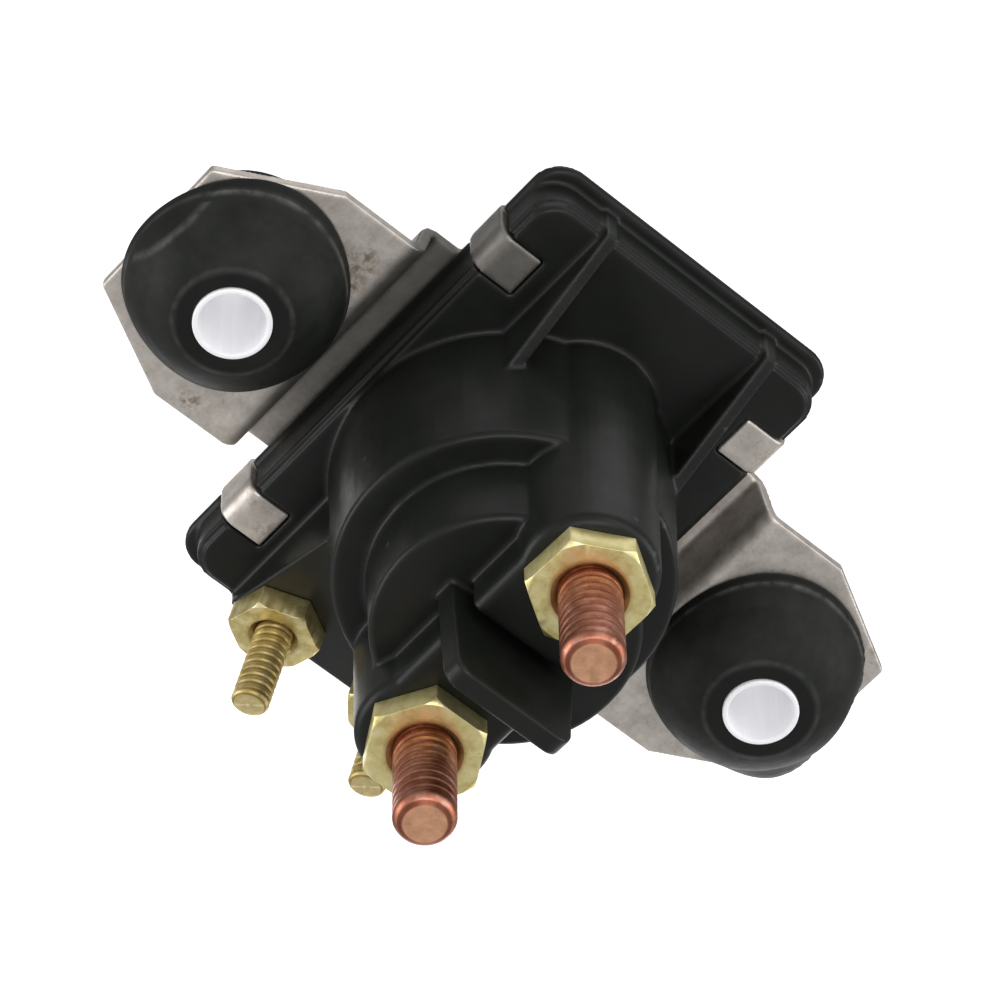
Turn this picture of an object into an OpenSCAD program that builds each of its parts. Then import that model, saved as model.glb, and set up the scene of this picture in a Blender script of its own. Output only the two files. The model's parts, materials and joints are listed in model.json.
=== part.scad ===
// Four-terminal starter relay on a rubber-mounted, crimped steel bracket.
// Millimetres. X runs from one mounting hole to the other, +Z points from the
// mounting surface to the terminals, and the origin lies midway between the
// holes, on the surface that the mounting sleeves stand on.

/* [Mounting] */
// Distance between the mounting hole centres
hole_spacing = 80; // [79:0.5:84]
// Length of a mounting sleeve
sleeve_len = 19; // [18:0.1:20]
// Outer diameter of a mounting sleeve
sleeve_od = 9; // [8.6:0.1:9.4]
// Bore of a mounting sleeve
sleeve_id = 7.7; // [6.4:0.1:8]
// Largest diameter of a rubber grommet
grommet_d = 26; // [24:0.1:26]
// Diameter of the flat ring round a grommet's hole
grommet_ring_d = 14; // [13:0.1:17]
// Diameter of the grommet's neck in the ear
grommet_neck_d = 15.8; // [14:0.1:17]
// How far the sleeve stands proud of the grommet
sleeve_proud = 0.3; // [0.1:0.1:0.6]

/* [Bracket] */
// Width of the bracket's plate under the cap
plate_w = 41.8; // [40:0.1:42.4]
// Length of the bracket's plate under the cap
plate_l = 66.8; // [62:0.1:67]
// Thickness of the bracket's sheet
sheet_t = 1.45; // [1:0.05:1.6]
// Height of the ears above the centre plate
bracket_drop = 6.5; // [6:0.1:7]
// Half width of an ear beside its grommet
ear_half_w = 16.9; // [15.5:0.1:17.5]
// Half width of an ear at its end edge
ear_end_half_w = 9.7; // [8:0.1:12]
// Distance from the centre to an ear's end edge
ear_end_x = 51.4; // [50:0.1:54]
// Distance from the centre to the start of an ear's cut corners
ear_corner_x = 38; // [36:0.1:41]
// Distance from the centre to the start of an ear's flat
ear_flat_x = 28.4; // [27.8:0.1:28.6]
// Inside radius of the joggle bends
bend_r = 1; // [0.6:0.1:1.2]
// Slope of the joggle's riser from upright, in degrees
riser_lean = 12; // [4:1:16]
// Width of a crimped tab
tab_w = 5.4; // [4:0.1:7]
// Distance from the middle to a tab's centre
tab_y = 22.2; // [21.8:0.1:23]
// Distance from the middle to a tab's tip
tab_tip_x = 15.8; // [15.2:0.1:17]
// Inside radius of a tab's fold
tab_bend_r = 0.6; // [0.4:0.05:0.8]

/* [Cap] */
// Width of the cap's rim
rim_w = 43.4; // [42.6:0.1:44]
// Length of the cap's rim
rim_l = 68.4; // [67:0.1:70]
// Corner radius of the rim
rim_r = 4; // [2:0.1:5]
// Thickness of the rim
rim_t = 1.3; // [1:0.1:2]
// Width of the cap's raised deck
deck_w = 42.2; // [41.6:0.1:42.6]
// Length of the cap's raised deck
deck_l = 64.8; // [64:0.1:66]
// Diameter of the drum where it leaves the deck
drum_base_d = 40; // [39.4:0.1:41]
// Diameter of the drum at its top edge
drum_top_d = 39; // [38.4:0.1:40]
// Height of the drum above the deck
drum_h = 21.2; // [21.1:0.1:22]
// Diameter of the turret on the drum
turret_d = 31; // [30.6:0.1:32]
// Height of the turret above the drum
turret_h = 10.3; // [10.2:0.1:11]
// Distance between the large stud centres
stud_spacing = 27.3; // [26.6:0.1:27.6]
// Diameter of a stud tower at the deck
tower_base_d = 17; // [16.4:0.1:17.6]
// Diameter of a stud tower at its top
tower_top_d = 15.8; // [15:0.1:16.2]
// Width of the block that joins a tower to the turret
tower_block_w = 14.4; // [13:0.1:15]
// Height of the towers above the turret
tower_h = 5.3; // [5:0.1:6]
// Gap between the two tower blocks
tower_gap = 5.2; // [4:0.1:7]
// Length of the barrier wall at its foot
barrier_foot_l = 18.6; // [16:0.1:20]
// Length of the barrier wall at its top
barrier_top_l = 16.4; // [14:0.1:18]
// Thickness of the barrier wall
barrier_t = 2.6; // [1.6:0.1:3]
// Height of the barrier wall above the turret
barrier_h = 15.9; // [12:0.1:18]
// Distance from the middle to a gusset rib's centre
rib_x = 12.1; // [10:0.1:13]
// Thickness of a gusset rib
rib_t = 1.7; // [1.2:0.1:2.4]
// Height of a rib above the deck at its outer end
rib_low_h = 0.8; // [0.4:0.1:2]
// Height of a rib above the deck at the drum
rib_high_h = 8.2; // [6:0.1:9]
// Width of the ramp that carries the small studs
ramp_w = 27.8; // [26.8:0.1:28.6]
// Slope of that ramp, in degrees
ramp_slope = 22; // [18:1:23]
// Height of the ramp above the deck where the small studs stand
ramp_rise = 2.9; // [2.8:0.1:3.4]
// Thickness of the cap's walls round the coil
wall_t = 1.7; // [1.5:0.1:1.8]

/* [Terminals] */
// Diameter of a large stud over its thread's crests
stud_d = 7.1; // [7:0.1:7.8]
// Diameter of a large stud at the root of its thread
stud_core_d = 6.2; // [6:0.1:6.6]
// Height of a large stud above its tower
stud_out = 16.4; // [14:0.1:18]
// Width across the flats of a large nut
nut_af = 12.6; // [12:0.1:13]
// Thickness of a large nut
nut_t = 3.2; // [2.8:0.1:4]
// Diameter of a large stud's contact head
head_d = 10.8; // [10:0.1:11]
// Thickness of a large stud's contact head
head_t = 1.8; // [1.4:0.1:2]
// Diameter of a small stud over its thread's crests
coil_stud_d = 4.5; // [4.2:0.1:4.9]
// Diameter of a small stud at the root of its thread
coil_stud_core_d = 3.7; // [3.4:0.1:3.8]
// Length of a small stud outside the ramp
coil_stud_out = 13.5; // [11:0.1:15]
// Width across the flats of a small nut
coil_nut_af = 9.8; // [9:0.1:10]
// Thickness of a small nut
coil_nut_t = 3.1; // [2:0.1:3.2]
// Distance from the middle to a small stud's seat, across the relay
coil_stud_x = 8.8; // [8.2:0.1:9]
// Distance from the middle to a small stud's seat, along the relay
coil_stud_y = 29.4; // [29:0.1:29.6]

/* [Coil and contacts] */
// Travel of the plunger
plunger_stroke = 3; // [2.4:0.1:3.1]
// Travel of the contact disc before it meets the studs
contact_gap = 2.4; // [2:0.1:2.4]
// Diameter of the plunger
plunger_d = 11; // [9.6:0.1:11.2]
// Length of the plunger
plunger_len = 7.6; // [7:0.1:8]
// Diameter of the plunger rod
rod_d = 3; // [2.6:0.1:3.2]
// Diameter of the contact disc
contact_d = 24.8; // [23:0.1:25.4]
// Thickness of the contact disc
contact_t = 1.4; // [1.2:0.1:1.5]
// Wall of the steel can round the coil
can_t = 1.1; // [0.8:0.1:1.2]
// Thickness of the pole plate over the coil
pole_t = 1.4; // [1.2:0.1:1.5]
// Thickness of the steel plate under the coil
base_t = 1.5; // [1.2:0.1:1.6]
// Wall of the coil bobbin
bobbin_t = 1.2; // [0.9:0.1:1.3]
// Depth of the winding on the bobbin
winding_depth = 7.8; // [6:0.1:8]
// Wire diameter of the return spring
spring_wire = 0.6; // [0.4:0.05:0.7]
// Mean diameter of the return spring
spring_d = 5.8; // [5.6:0.1:6]
// Turns of the return spring
spring_turns = 5; // [4:1:6]

/* [Hidden] */

// Facets of round features, and of the arcs inside outlines
round_fn = 96;
small_fn = 48;
arc_steps = 6;
// Overrun of a cut past the face that it opens
over = 0.5;
// Clearance between pieces that nest, between pieces that run, and of a fold
nest_gap = 0.05;
run_gap = 0.2;
fold_gap = 0.5;

// Heights of the bracket
ear_top = (sleeve_len + sheet_t) / 2;
plate_top = ear_top - bracket_drop;
plate_bottom = plate_top - sheet_t;
ear_hole_r = grommet_neck_d / 2 + 2 * nest_gap;
fold_r = bend_r + sheet_t;
riser_rise = bracket_drop - (fold_r + bend_r) * (1 - sin(riser_lean));
plate_flat_x = ear_flat_x - (fold_r + bend_r) * cos(riser_lean) - riser_rise * tan(riser_lean);
tab_fold_r = tab_bend_r + sheet_t;
tab_out_x = rim_w / 2 + 3 * nest_gap;
tab_root_x = tab_out_x - 2 * tab_fold_r;
relief_w = 1.1;

// Heights of the cap
gasket_t = 0.5;
gasket_w = 2.2;
cap_bottom = plate_top + gasket_t;
rim_top = cap_bottom + rim_t;
deck_top = ear_top;
drum_top = deck_top + drum_h;
turret_top = drum_top + turret_h;
tower_top = turret_top + tower_h;
barrier_top = turret_top + barrier_h;
edge_r = 0.7;
tower_round_r = 1.4;
barrier_round_r = 2.3;
tower_y = stud_spacing / 2;
stud_seat_z = deck_top + ramp_rise;
pocket_floor = deck_top - sheet_t - nest_gap;
pocket_in_x = tab_tip_x - run_gap;
notch_x = tab_out_x - sheet_t - fold_gap;
notch_w = tab_w + 2 * run_gap;
gasket_out_w = 2 * (notch_x - run_gap);
gasket_in_w = gasket_out_w - 2 * gasket_w;

// Hollow of the cap, from the coil chamber up to the contact chamber
coil_room_r = drum_top_d / 2 - wall_t;
shelf_t = 1.25;
coil_room_top = drum_top - shelf_t;
turret_roof_t = 1.4;
contact_room_top = turret_top - turret_roof_t;
contact_room_gap = 1;
contact_room_r = contact_d / 2 + contact_room_gap;
head_room_r = head_d / 2 + 2 * run_gap;
seal_t = 0.6;
head_seat = contact_room_top - run_gap;

// Coil stack: its base plate lies in the gasket's opening
base_gap = 0.3;
base_r = gasket_in_w / 2 - base_gap;
base_top = plate_top + base_t;
stack_gap = 0.08;
can_bottom = base_top + stack_gap;
pole_top = coil_room_top - stack_gap;
pole_bottom = pole_top - pole_t;
can_gap = 0.6;
can_r = coil_room_r - can_gap;
can_in_r = can_r - can_t;
bobbin_bottom = can_bottom;
bobbin_top = pole_bottom - stack_gap;
bobbin_bore_r = plunger_d / 2 + 2 * run_gap;
bobbin_hub_r = bobbin_bore_r + bobbin_t;
bobbin_r = can_in_r - run_gap;
winding_in_r = bobbin_hub_r + nest_gap;
winding_r = winding_in_r + winding_depth;
winding_bottom = bobbin_bottom + bobbin_t + nest_gap;
winding_top = bobbin_top - bobbin_t - nest_gap;

// Plunger, its stop and the pole above it
buffer_t = 1.5;
buffer_inset = 0.8;
buffer_r = plunger_d / 2 - buffer_inset;
plunger_bottom = base_top + buffer_t + stack_gap;
plunger_top = plunger_bottom + plunger_len;
core_bottom = plunger_top + plunger_stroke + run_gap;
core_r = bobbin_bore_r - run_gap;
spring_seat_depth = 4;
core_seat_depth = 3;
spring_seat_r = spring_d / 2 + spring_wire / 2 + 2 * run_gap;
spring_low = plunger_top - spring_seat_depth;
spring_high = core_bottom + core_seat_depth;
rod_bottom = plunger_bottom + bobbin_t;
rod_bore_r = rod_d / 2 + run_gap;

// Contact stack on the rod, at rest
head_bottom = head_seat - seal_t - head_t;
contact_top = head_bottom - contact_gap;
contact_bottom = contact_top - contact_t;
bush_flange_t = 0.6;
bush_wall = 1.5;
bush_r = rod_d / 2 + bush_wall;
bush_flange_w = 1.2;
bush_flange_r = bush_r + bush_flange_w;
bush_bottom = contact_bottom - bush_flange_t;
washer_t = 0.6;
washer_top = contact_top + washer_t;
clip_t = 0.5;
clip_bottom = washer_top + nest_gap;
clip_lip = 1.4;
clip_r = rod_d / 2 + clip_lip;
clip_groove_depth = 0.35;
clip_groove_r = rod_d / 2 - clip_groove_depth;
clip_mouth_share = 1.6;
rod_top = clip_bottom + clip_t + run_gap;
collar_t = 0.7;
collar_bottom = pole_top + run_gap;
collar_top = collar_bottom + collar_t;
collar_r = bush_r + 2 * run_gap;
contact_spring_wire = 0.5;
contact_spring_room = 2.25;
contact_spring_d = rod_d + contact_spring_room;
contact_spring_turns = 1.5;

// Studs and nuts
tip_chamfer = 1.2;
coil_tip_chamfer = 0.5;
nut_ease_share = 0.17;
nut_face_share = 0.94;
nut_sink_share = 0.36;
coil_head_d = 6;
coil_head_t = 1.4;
coil_head_depth = 3;
coil_tail_r = 1;
coil_tail_len = 1.6;
coil_pocket_r = coil_head_d / 2 + 2 * run_gap;
coil_pocket_len = 9;
nut_turn = [28.4, 0];
coil_nut_turn = [26, 9];

// Leads from the small studs to the winding
lead_r = 0.55;
lead_ring_t = 0.6;
lead_ring_r = 2.3;
lead_drop = coil_head_depth + coil_head_t + nest_gap + lead_ring_t / 2;
lead_start_in = lead_ring_r - lead_r;
lead_start_low = lead_drop + lead_ring_t / 2;
lead_start_y = coil_stud_y - lead_start_in * cos(ramp_slope) - lead_start_low * sin(ramp_slope);
lead_start_z = stud_seat_z + lead_start_in * sin(ramp_slope) - lead_start_low * cos(ramp_slope);
lead_end_z = winding_bottom + 2 * lead_r;
lead_end_y = sqrt(pow(winding_r + lead_r, 2) - pow(coil_stud_x, 2));
lead_room_top = lead_start_z + lead_r + 2 * run_gap;
lead_room_w = 2 * coil_stud_x + 6 * lead_r;
lead_room_y = coil_stud_y - lead_start_low * sin(ramp_slope);

// Where the ribs and the ramp meet the drum, and how far they run into it
rib_meet_y = sqrt(pow(drum_top_d / 2, 2) - pow(rib_x, 2));
drum_root = 1;
turret_draft_share = 0.98;

// Section of a grommet: the foot and the side of its discs, its dome and its flat ring
foot_round_r = 0.3;
low_foot_round_r = 1.2;
low_disc_in = 0.55;
disc_side_in = 0.3;
disc_side_h = 1.5;
dome_r = 11.5;
ring_round_r = 1;
grommet_face = sleeve_len / 2 - sleeve_proud;

// Points of an arc, from one angle to another
function arc(centre, r, from, to, steps = arc_steps) =
    [for (i = [0:steps])
        let (a = from + (to - from) * i / steps)
        [centre[0] + r * cos(a), centre[1] + r * sin(a)]];

// Point at given distances from two others, on the left of the way from the first to the second
function meeting_point(from, from_r, to, to_r) =
    let (
        way = (to - from) / norm(to - from),
        along = (pow(norm(to - from), 2) + pow(from_r, 2) - pow(to_r, 2)) / (2 * norm(to - from)),
        across = sqrt(pow(from_r, 2) - pow(along, 2))
    )
    [from[0] + way[0] * along - way[1] * across, from[1] + way[1] * along + way[0] * across];

function reversed(points) = [for (i = [len(points) - 1:-1:0]) points[i]];

function mirrored(points) = [for (p = points) [-p[0], p[1]]];

// One ring of a coiled wire: a circle round the point where the wire passes
function coil_ring(mean_r, wire_r, pitch, turn, sides) =
    let (a = 360 * turn)
    [for (k = [0:sides - 1])
        let (b = 360 * k / sides, r = mean_r + wire_r * cos(b))
        [r * cos(a), r * sin(a), pitch * turn + wire_r * sin(b)]];

// Round wire wound into an open coil that stands on z = 0
module coiled_wire(mean_r, wire_r, height, turns, sides = 6, rings = 12) {
    pitch = (height - 2 * wire_r) / turns;
    count = ceil(turns * rings);
    points = [for (i = [0:count]) each coil_ring(mean_r, wire_r, pitch, turns * i / count, sides)];
    low_cap = [[for (k = [sides - 1:-1:0]) k]];
    high_cap = [[for (k = [0:sides - 1]) count * sides + k]];
    walls = [for (i = [0:count - 1], k = [0:sides - 1])
        let (n = (k + 1) % sides, a = i * sides, b = a + sides)
        each [[a + k, b + n, b + k], [a + k, a + n, b + n]]];
    echo(least_gap_of_coil = pitch - 2 * wire_r);
    translate([0, 0, wire_r])
        polyhedron(points, concat(low_cap, walls, high_cap));
}

// Plate with round corners, standing on z = 0
module rounded_plate(w, l, h, r) {
    translate([-w / 2, r - l / 2, 0])
        cube([w, l - 2 * r, h]);
    translate([r - w / 2, -l / 2, 0])
        cube([w - 2 * r, l, h]);
    for (x = [-1, 1], y = [-1, 1])
        translate([x * (w / 2 - r), y * (l / 2 - r), 0])
            cylinder(r = r, h = h, $fn = small_fn);
}

// Rounded plate whose top edge is drawn in by a small chamfer
module eased_plate(w, l, h, r, ease) {
    rounded_plate(w, l, h - ease, r);
    rounded_plate(w - 2 * ease, l - 2 * ease, h, r - ease);
}

// Places its children on the two ends of the X axis, the second one mirrored
module both_ways() {
    children();
    mirror([1, 0, 0])
        children();
}

// Round bar between two points
module bar(from, to, r) {
    d = to - from;
    flat = norm([d[0], d[1]]);
    translate(from)
        rotate([0, atan2(flat, d[2]), atan2(d[1], d[0])])
            cylinder(r = r, h = norm(d), $fn = 24);
}

// Stud that stands on z = 0, with a chamfered tip, and narrowed to its thread's root
// where its nut grips
module stud_shank(d, core_d, seat, grip, length, chamfer) {
    r = d / 2;
    core_r = core_d / 2;
    rotate_extrude($fn = small_fn)
        polygon([[0, 0], [r, 0], [r, seat], [core_r, seat], [core_r, seat + grip],
            [r, seat + grip], [r, length - chamfer], [r - chamfer, length], [0, length]]);
}

// Hexagonal nut that stands on z = 0, with eased corners and countersunk bore
module hex_nut(af, thick, bore_d) {
    corner_r = af / sqrt(3);
    turned_r = corner_r + nest_gap;
    ease = thick * nut_ease_share;
    sink = thick * nut_sink_share;
    difference() {
        intersection() {
            cylinder(r = corner_r, h = thick, $fn = 6);
            rotate_extrude($fn = small_fn)
                polygon([[0, 0], [turned_r, 0], [turned_r, thick - ease],
                    [corner_r * nut_face_share, thick], [0, thick]]);
        }
        translate([0, 0, -over])
            cylinder(d = bore_d, h = thick + 2 * over, $fn = small_fn);
        translate([0, 0, thick - sink])
            cylinder(r1 = bore_d / 2, r2 = bore_d / 2 + sink + over, h = sink + over,
                $fn = small_fn);
    }
}

// Section of the joggled sheet from the middle to an ear's end
function joggle_outline() =
    let (
        low_centre = [plate_flat_x, plate_top + bend_r],
        high_centre = [ear_flat_x, ear_top - fold_r],
        top_side = concat(
            [[0, plate_top]],
            arc(low_centre, bend_r, -90, -riser_lean),
            arc(high_centre, fold_r, 180 - riser_lean, 90),
            [[ear_end_x, ear_top]]),
        under_side = concat(
            [[0, plate_bottom]],
            arc(low_centre, fold_r, -90, -riser_lean),
            arc(high_centre, bend_r, 180 - riser_lean, 90),
            [[ear_end_x, ear_top - sheet_t]])
    )
    concat(top_side, reversed(under_side));

// Section of a tab that rises from the plate and folds over the deck
function tab_outline() =
    let (
        low_centre = [tab_out_x - tab_fold_r, plate_bottom + tab_fold_r],
        high_centre = [tab_out_x - tab_fold_r, deck_top - tab_fold_r],
        outside = concat(
            [[tab_root_x, plate_bottom]],
            arc(low_centre, tab_fold_r, -90, 0),
            arc(high_centre, tab_fold_r, 0, 90),
            [[tab_tip_x, deck_top]]),
        inside = concat(
            [[tab_root_x, plate_top]],
            arc(low_centre, tab_bend_r, -90, 0),
            arc(high_centre, tab_bend_r, 0, 90),
            [[tab_tip_x, deck_top - sheet_t]])
    )
    concat(outside, reversed(inside));

// Plan of the strip and the ear on one side
ear_plan = [[0, -ear_half_w], [ear_corner_x, -ear_half_w], [ear_end_x, -ear_end_half_w],
    [ear_end_x, ear_end_half_w], [ear_corner_x, ear_half_w], [0, ear_half_w]];

// Places its children upright across the relay, with their Z axis along Y
module along_y(length) {
    translate([0, length / 2, 0])
        rotate([90, 0, 0])
            linear_extrude(length)
                children();
}

module bracket_sheet() {
    intersection() {
        along_y(2 * ear_half_w)
            union() {
                polygon(joggle_outline());
                polygon(mirrored(joggle_outline()));
            }
        linear_extrude(2 * ear_top)
            union() {
                polygon(ear_plan);
                polygon(mirrored(ear_plan));
            }
    }
    translate([0, 0, plate_bottom])
        rounded_plate(plate_w, plate_l, sheet_t, rim_r);
}

// Room that is cut out of the plate for the tabs and the relief slots beside them
module tab_room() {
    room_w = tab_w + 2 * relief_w;
    for (y = [-tab_y, tab_y])
        translate([tab_root_x, y - room_w / 2, plate_bottom - over])
            cube([tab_out_x + over - tab_root_x, room_w, sheet_t + 2 * over]);
}

module mounting_bracket() {
    color("#b5ada5") {
        difference() {
            bracket_sheet();
            for (x = [-1, 1])
                translate([x * hole_spacing / 2, 0, 0])
                    cylinder(r = ear_hole_r, h = 2 * ear_top, $fn = small_fn);
            both_ways()
                tab_room();
        }
        for (y = [-tab_y, tab_y])
            translate([0, y, 0])
                both_ways()
                    along_y(tab_w)
                        polygon(tab_outline());
    }
}

// Drum and turret of the cap, with eased edges
module drum_and_turret() {
    drum_r = drum_top_d / 2;
    turret_r = turret_d / 2;
    turret_in = turret_r * turret_draft_share;
    rotate_extrude($fn = round_fn)
        polygon(concat(
            [[0, rim_top], [drum_base_d / 2, rim_top], [drum_base_d / 2, deck_top]],
            arc([drum_r - edge_r, drum_top - edge_r], edge_r, 0, 90),
            [[turret_r, drum_top]],
            arc([turret_in - edge_r, turret_top - edge_r], edge_r, 0, 90),
            [[0, turret_top]]));
}

// Block that ties a stud tower to the turret, with round top edges
module tower_block() {
    low = drum_top - shelf_t;
    side = tower_block_w / 2;
    round_z = tower_top - tower_round_r;
    inner = tower_gap / 2;
    intersection() {
        along_y(2 * tower_y)
            polygon(concat([[-side, low], [side, low]],
                arc([side - tower_round_r, round_z], tower_round_r, 0, 90),
                arc([tower_round_r - side, round_z], tower_round_r, 90, 180)));
        translate([-side, 0, 0])
            rotate([90, 0, 90])
                linear_extrude(tower_block_w)
                    polygon(concat([[inner, low], [tower_y, low], [tower_y, tower_top]],
                        arc([inner + edge_r, tower_top - edge_r], edge_r, 90, 180)));
    }
}

// Stud tower: a tapered round column with its block
module stud_tower() {
    translate([0, tower_y, 0])
        rotate_extrude($fn = round_fn)
            polygon(concat([[0, rim_top], [tower_base_d / 2, rim_top]],
                arc([tower_top_d / 2 - tower_round_r, tower_top - tower_round_r], tower_round_r, 0, 90),
                [[0, tower_top]]));
    tower_block();
}

module barrier_wall() {
    foot = barrier_foot_l / 2;
    top = barrier_top_l / 2;
    round_z = barrier_top - barrier_round_r;
    foot_z = drum_top + turret_h / 2;
    translate([0, barrier_t / 2, 0])
        rotate([90, 0, 0])
            linear_extrude(barrier_t)
                polygon(concat(
                    [[-foot, foot_z], [foot, foot_z]],
                    arc([top - barrier_round_r, round_z], barrier_round_r, 0, 90),
                    arc([barrier_round_r - top, round_z], barrier_round_r, 90, 180)));
}

// Gusset rib from the end of the deck up to the drum
module gusset_rib() {
    outer_y = deck_l / 2 + rib_t / 4;
    inner_y = rib_meet_y - drum_root;
    translate([rib_x - rib_t / 2, 0, 0])
        rotate([90, 0, 90])
            linear_extrude(rib_t)
                polygon([[inner_y, rim_top], [outer_y, rim_top],
                    [outer_y, deck_top + rib_low_h], [inner_y, deck_top + rib_high_h]]);
}

// Ramp for the small studs, from the rim's end up to the drum
module stud_ramp() {
    end_y = deck_l / 2;
    inner_y = sqrt(pow(drum_top_d / 2, 2) - pow(ramp_w / 2, 2)) - drum_root;
    end_top = stud_seat_z - (end_y - coil_stud_y) * tan(ramp_slope);
    inner_top = stud_seat_z + (coil_stud_y - inner_y) * tan(ramp_slope);
    translate([-ramp_w / 2, 0, 0])
        rotate([90, 0, 90])
            linear_extrude(ramp_w)
                polygon([[-end_y, cap_bottom], [-inner_y, cap_bottom],
                    [-inner_y, inner_top], [-end_y, end_top]]);
}

// Frame of a small stud: origin on the ramp, Z along the stud
module on_ramp(side) {
    translate([side * coil_stud_x, -coil_stud_y, stud_seat_z])
        rotate([ramp_slope, 0, 0])
            children();
}

// Pockets in the deck and notches in the cap's sides, where the bracket's tabs lie
module tab_pockets() {
    out_x = tab_out_x + over;
    for (y = [-tab_y, tab_y])
        translate([0, y - notch_w / 2, 0])
            both_ways() {
                translate([pocket_in_x, 0, pocket_floor])
                    cube([out_x - pocket_in_x, notch_w, 2 * sheet_t]);
                translate([notch_x, 0, 0])
                    cube([out_x - notch_x, notch_w, 2 * deck_top]);
            }
}

module cap_hollow() {
    translate([0, 0, cap_bottom - over])
        cylinder(r = coil_room_r, h = coil_room_top - cap_bottom + over, $fn = round_fn);
    translate([0, 0, coil_room_top - over])
        cylinder(r = contact_room_r, h = contact_room_top - coil_room_top + over, $fn = round_fn);
    translate([-lead_room_w / 2, -lead_room_y, cap_bottom - over])
        cube([lead_room_w, lead_room_y, lead_room_top - cap_bottom + over]);
    for (y = [-tower_y, tower_y]) {
        translate([0, y, drum_top])
            cylinder(r = head_room_r, h = head_seat - drum_top, $fn = small_fn);
        translate([0, y, drum_top])
            cylinder(d = stud_d + 4 * nest_gap, h = tower_top - drum_top + over, $fn = small_fn);
    }
    for (side = [-1, 1])
        on_ramp(side) {
            translate([0, 0, -coil_head_depth - coil_pocket_len])
                cylinder(r = coil_pocket_r, h = coil_pocket_len, $fn = small_fn);
            translate([0, 0, -coil_head_depth - over])
                cylinder(d = coil_stud_d + 4 * nest_gap, h = coil_head_depth + 2 * over,
                    $fn = small_fn);
        }
}

module housing_cap() {
    color("#232623")
        difference() {
            union() {
                translate([0, 0, cap_bottom])
                    eased_plate(rim_w, rim_l, rim_t, rim_r, edge_r / 2);
                translate([0, 0, cap_bottom])
                    eased_plate(deck_w, deck_l, deck_top - cap_bottom, rim_r, edge_r);
                drum_and_turret();
                stud_tower();
                rotate([0, 0, 180])
                    stud_tower();
                barrier_wall();
                both_ways()
                    gusset_rib();
                stud_ramp();
            }
            cap_hollow();
            tab_pockets();
        }
}

module cap_gasket() {
    out_l = plate_l - edge_r;
    color("#303230")
        translate([0, 0, plate_top])
            difference() {
                rounded_plate(gasket_out_w, out_l, gasket_t, rim_r);
                translate([0, 0, -over])
                    rounded_plate(gasket_in_w, out_l - 2 * gasket_w, gasket_t + 2 * over,
                        rim_r - edge_r);
            }
}

module coil_base_plate() {
    color("#8f9094")
        translate([0, 0, plate_top])
            cylinder(r = base_r, h = base_t, $fn = round_fn);
}

module coil_can() {
    color("#9a9ba0")
        difference() {
            translate([0, 0, can_bottom])
                cylinder(r = can_r, h = pole_bottom - stack_gap - can_bottom, $fn = round_fn);
            translate([0, 0, can_bottom - over])
                cylinder(r = can_in_r, h = pole_bottom - can_bottom + over, $fn = round_fn);
            translate([-lead_room_w / 2, -coil_room_r, can_bottom - over])
                cube([lead_room_w, coil_room_r / 2, lead_room_top - can_bottom + over]);
        }
}

module pole_core() {
    color("#8a8b90")
        difference() {
            union() {
                translate([0, 0, pole_bottom])
                    cylinder(r = can_r, h = pole_t, $fn = round_fn);
                translate([0, 0, core_bottom])
                    cylinder(r = core_r, h = pole_bottom - core_bottom + pole_t / 2, $fn = small_fn);
            }
            translate([0, 0, core_bottom - over])
                cylinder(r = rod_bore_r, h = pole_top - core_bottom + 2 * over, $fn = small_fn);
            translate([0, 0, core_bottom - over])
                cylinder(r = spring_seat_r, h = core_seat_depth + over, $fn = small_fn);
        }
}

module coil_bobbin() {
    color("#d9d4c4")
        difference() {
            union() {
                translate([0, 0, bobbin_bottom])
                    cylinder(r = bobbin_hub_r, h = bobbin_top - bobbin_bottom, $fn = small_fn);
                for (z = [bobbin_bottom, bobbin_top - bobbin_t])
                    translate([0, 0, z])
                        cylinder(r = bobbin_r, h = bobbin_t, $fn = round_fn);
            }
            translate([0, 0, bobbin_bottom - over])
                cylinder(r = bobbin_bore_r, h = bobbin_top - bobbin_bottom + 2 * over,
                    $fn = small_fn);
        }
}

module coil_winding() {
    color("#b4622f")
        difference() {
            translate([0, 0, winding_bottom])
                cylinder(r = winding_r, h = winding_top - winding_bottom, $fn = round_fn);
            translate([0, 0, winding_bottom - over])
                cylinder(r = winding_in_r, h = winding_top - winding_bottom + 2 * over,
                    $fn = small_fn);
        }
}

// Lead from a ring on a small stud's tail to the winding
module coil_lead(side) {
    start = [side * coil_stud_x, -lead_start_y, lead_start_z];
    finish = [side * coil_stud_x, -lead_end_y, lead_end_z];
    color("#b4622f") {
        on_ramp(side)
            translate([0, 0, -lead_start_low])
                difference() {
                    cylinder(r = lead_ring_r, h = lead_ring_t, $fn = small_fn);
                    translate([0, 0, -over])
                        cylinder(r = coil_tail_r + nest_gap, h = lead_ring_t + 2 * over, $fn = small_fn);
                }
        bar(start, finish, lead_r);
    }
}

module coil_lead_left() {
    coil_lead(-1);
}

module coil_lead_right() {
    coil_lead(1);
}

module plunger() {
    color("#a3a4a8")
        difference() {
            translate([0, 0, plunger_bottom])
                cylinder(d = plunger_d, h = plunger_len, $fn = small_fn);
            translate([0, 0, rod_bottom])
                cylinder(r = rod_d / 2 + nest_gap, h = plunger_len, $fn = small_fn);
            translate([0, 0, spring_low])
                cylinder(r = spring_seat_r, h = spring_seat_depth + over, $fn = small_fn);
        }
}

module plunger_rod() {
    color("#c2a45a")
        difference() {
            union() {
                translate([0, 0, rod_bottom])
                    cylinder(d = rod_d, h = rod_top - rod_bottom, $fn = small_fn);
                translate([0, 0, collar_bottom])
                    cylinder(r = collar_r, h = collar_t, $fn = small_fn);
            }
            translate([0, 0, clip_bottom])
                difference() {
                    cylinder(d = rod_d + over, h = clip_t, $fn = small_fn);
                    cylinder(r = clip_groove_r, h = clip_t, $fn = small_fn);
                }
        }
}

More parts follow.
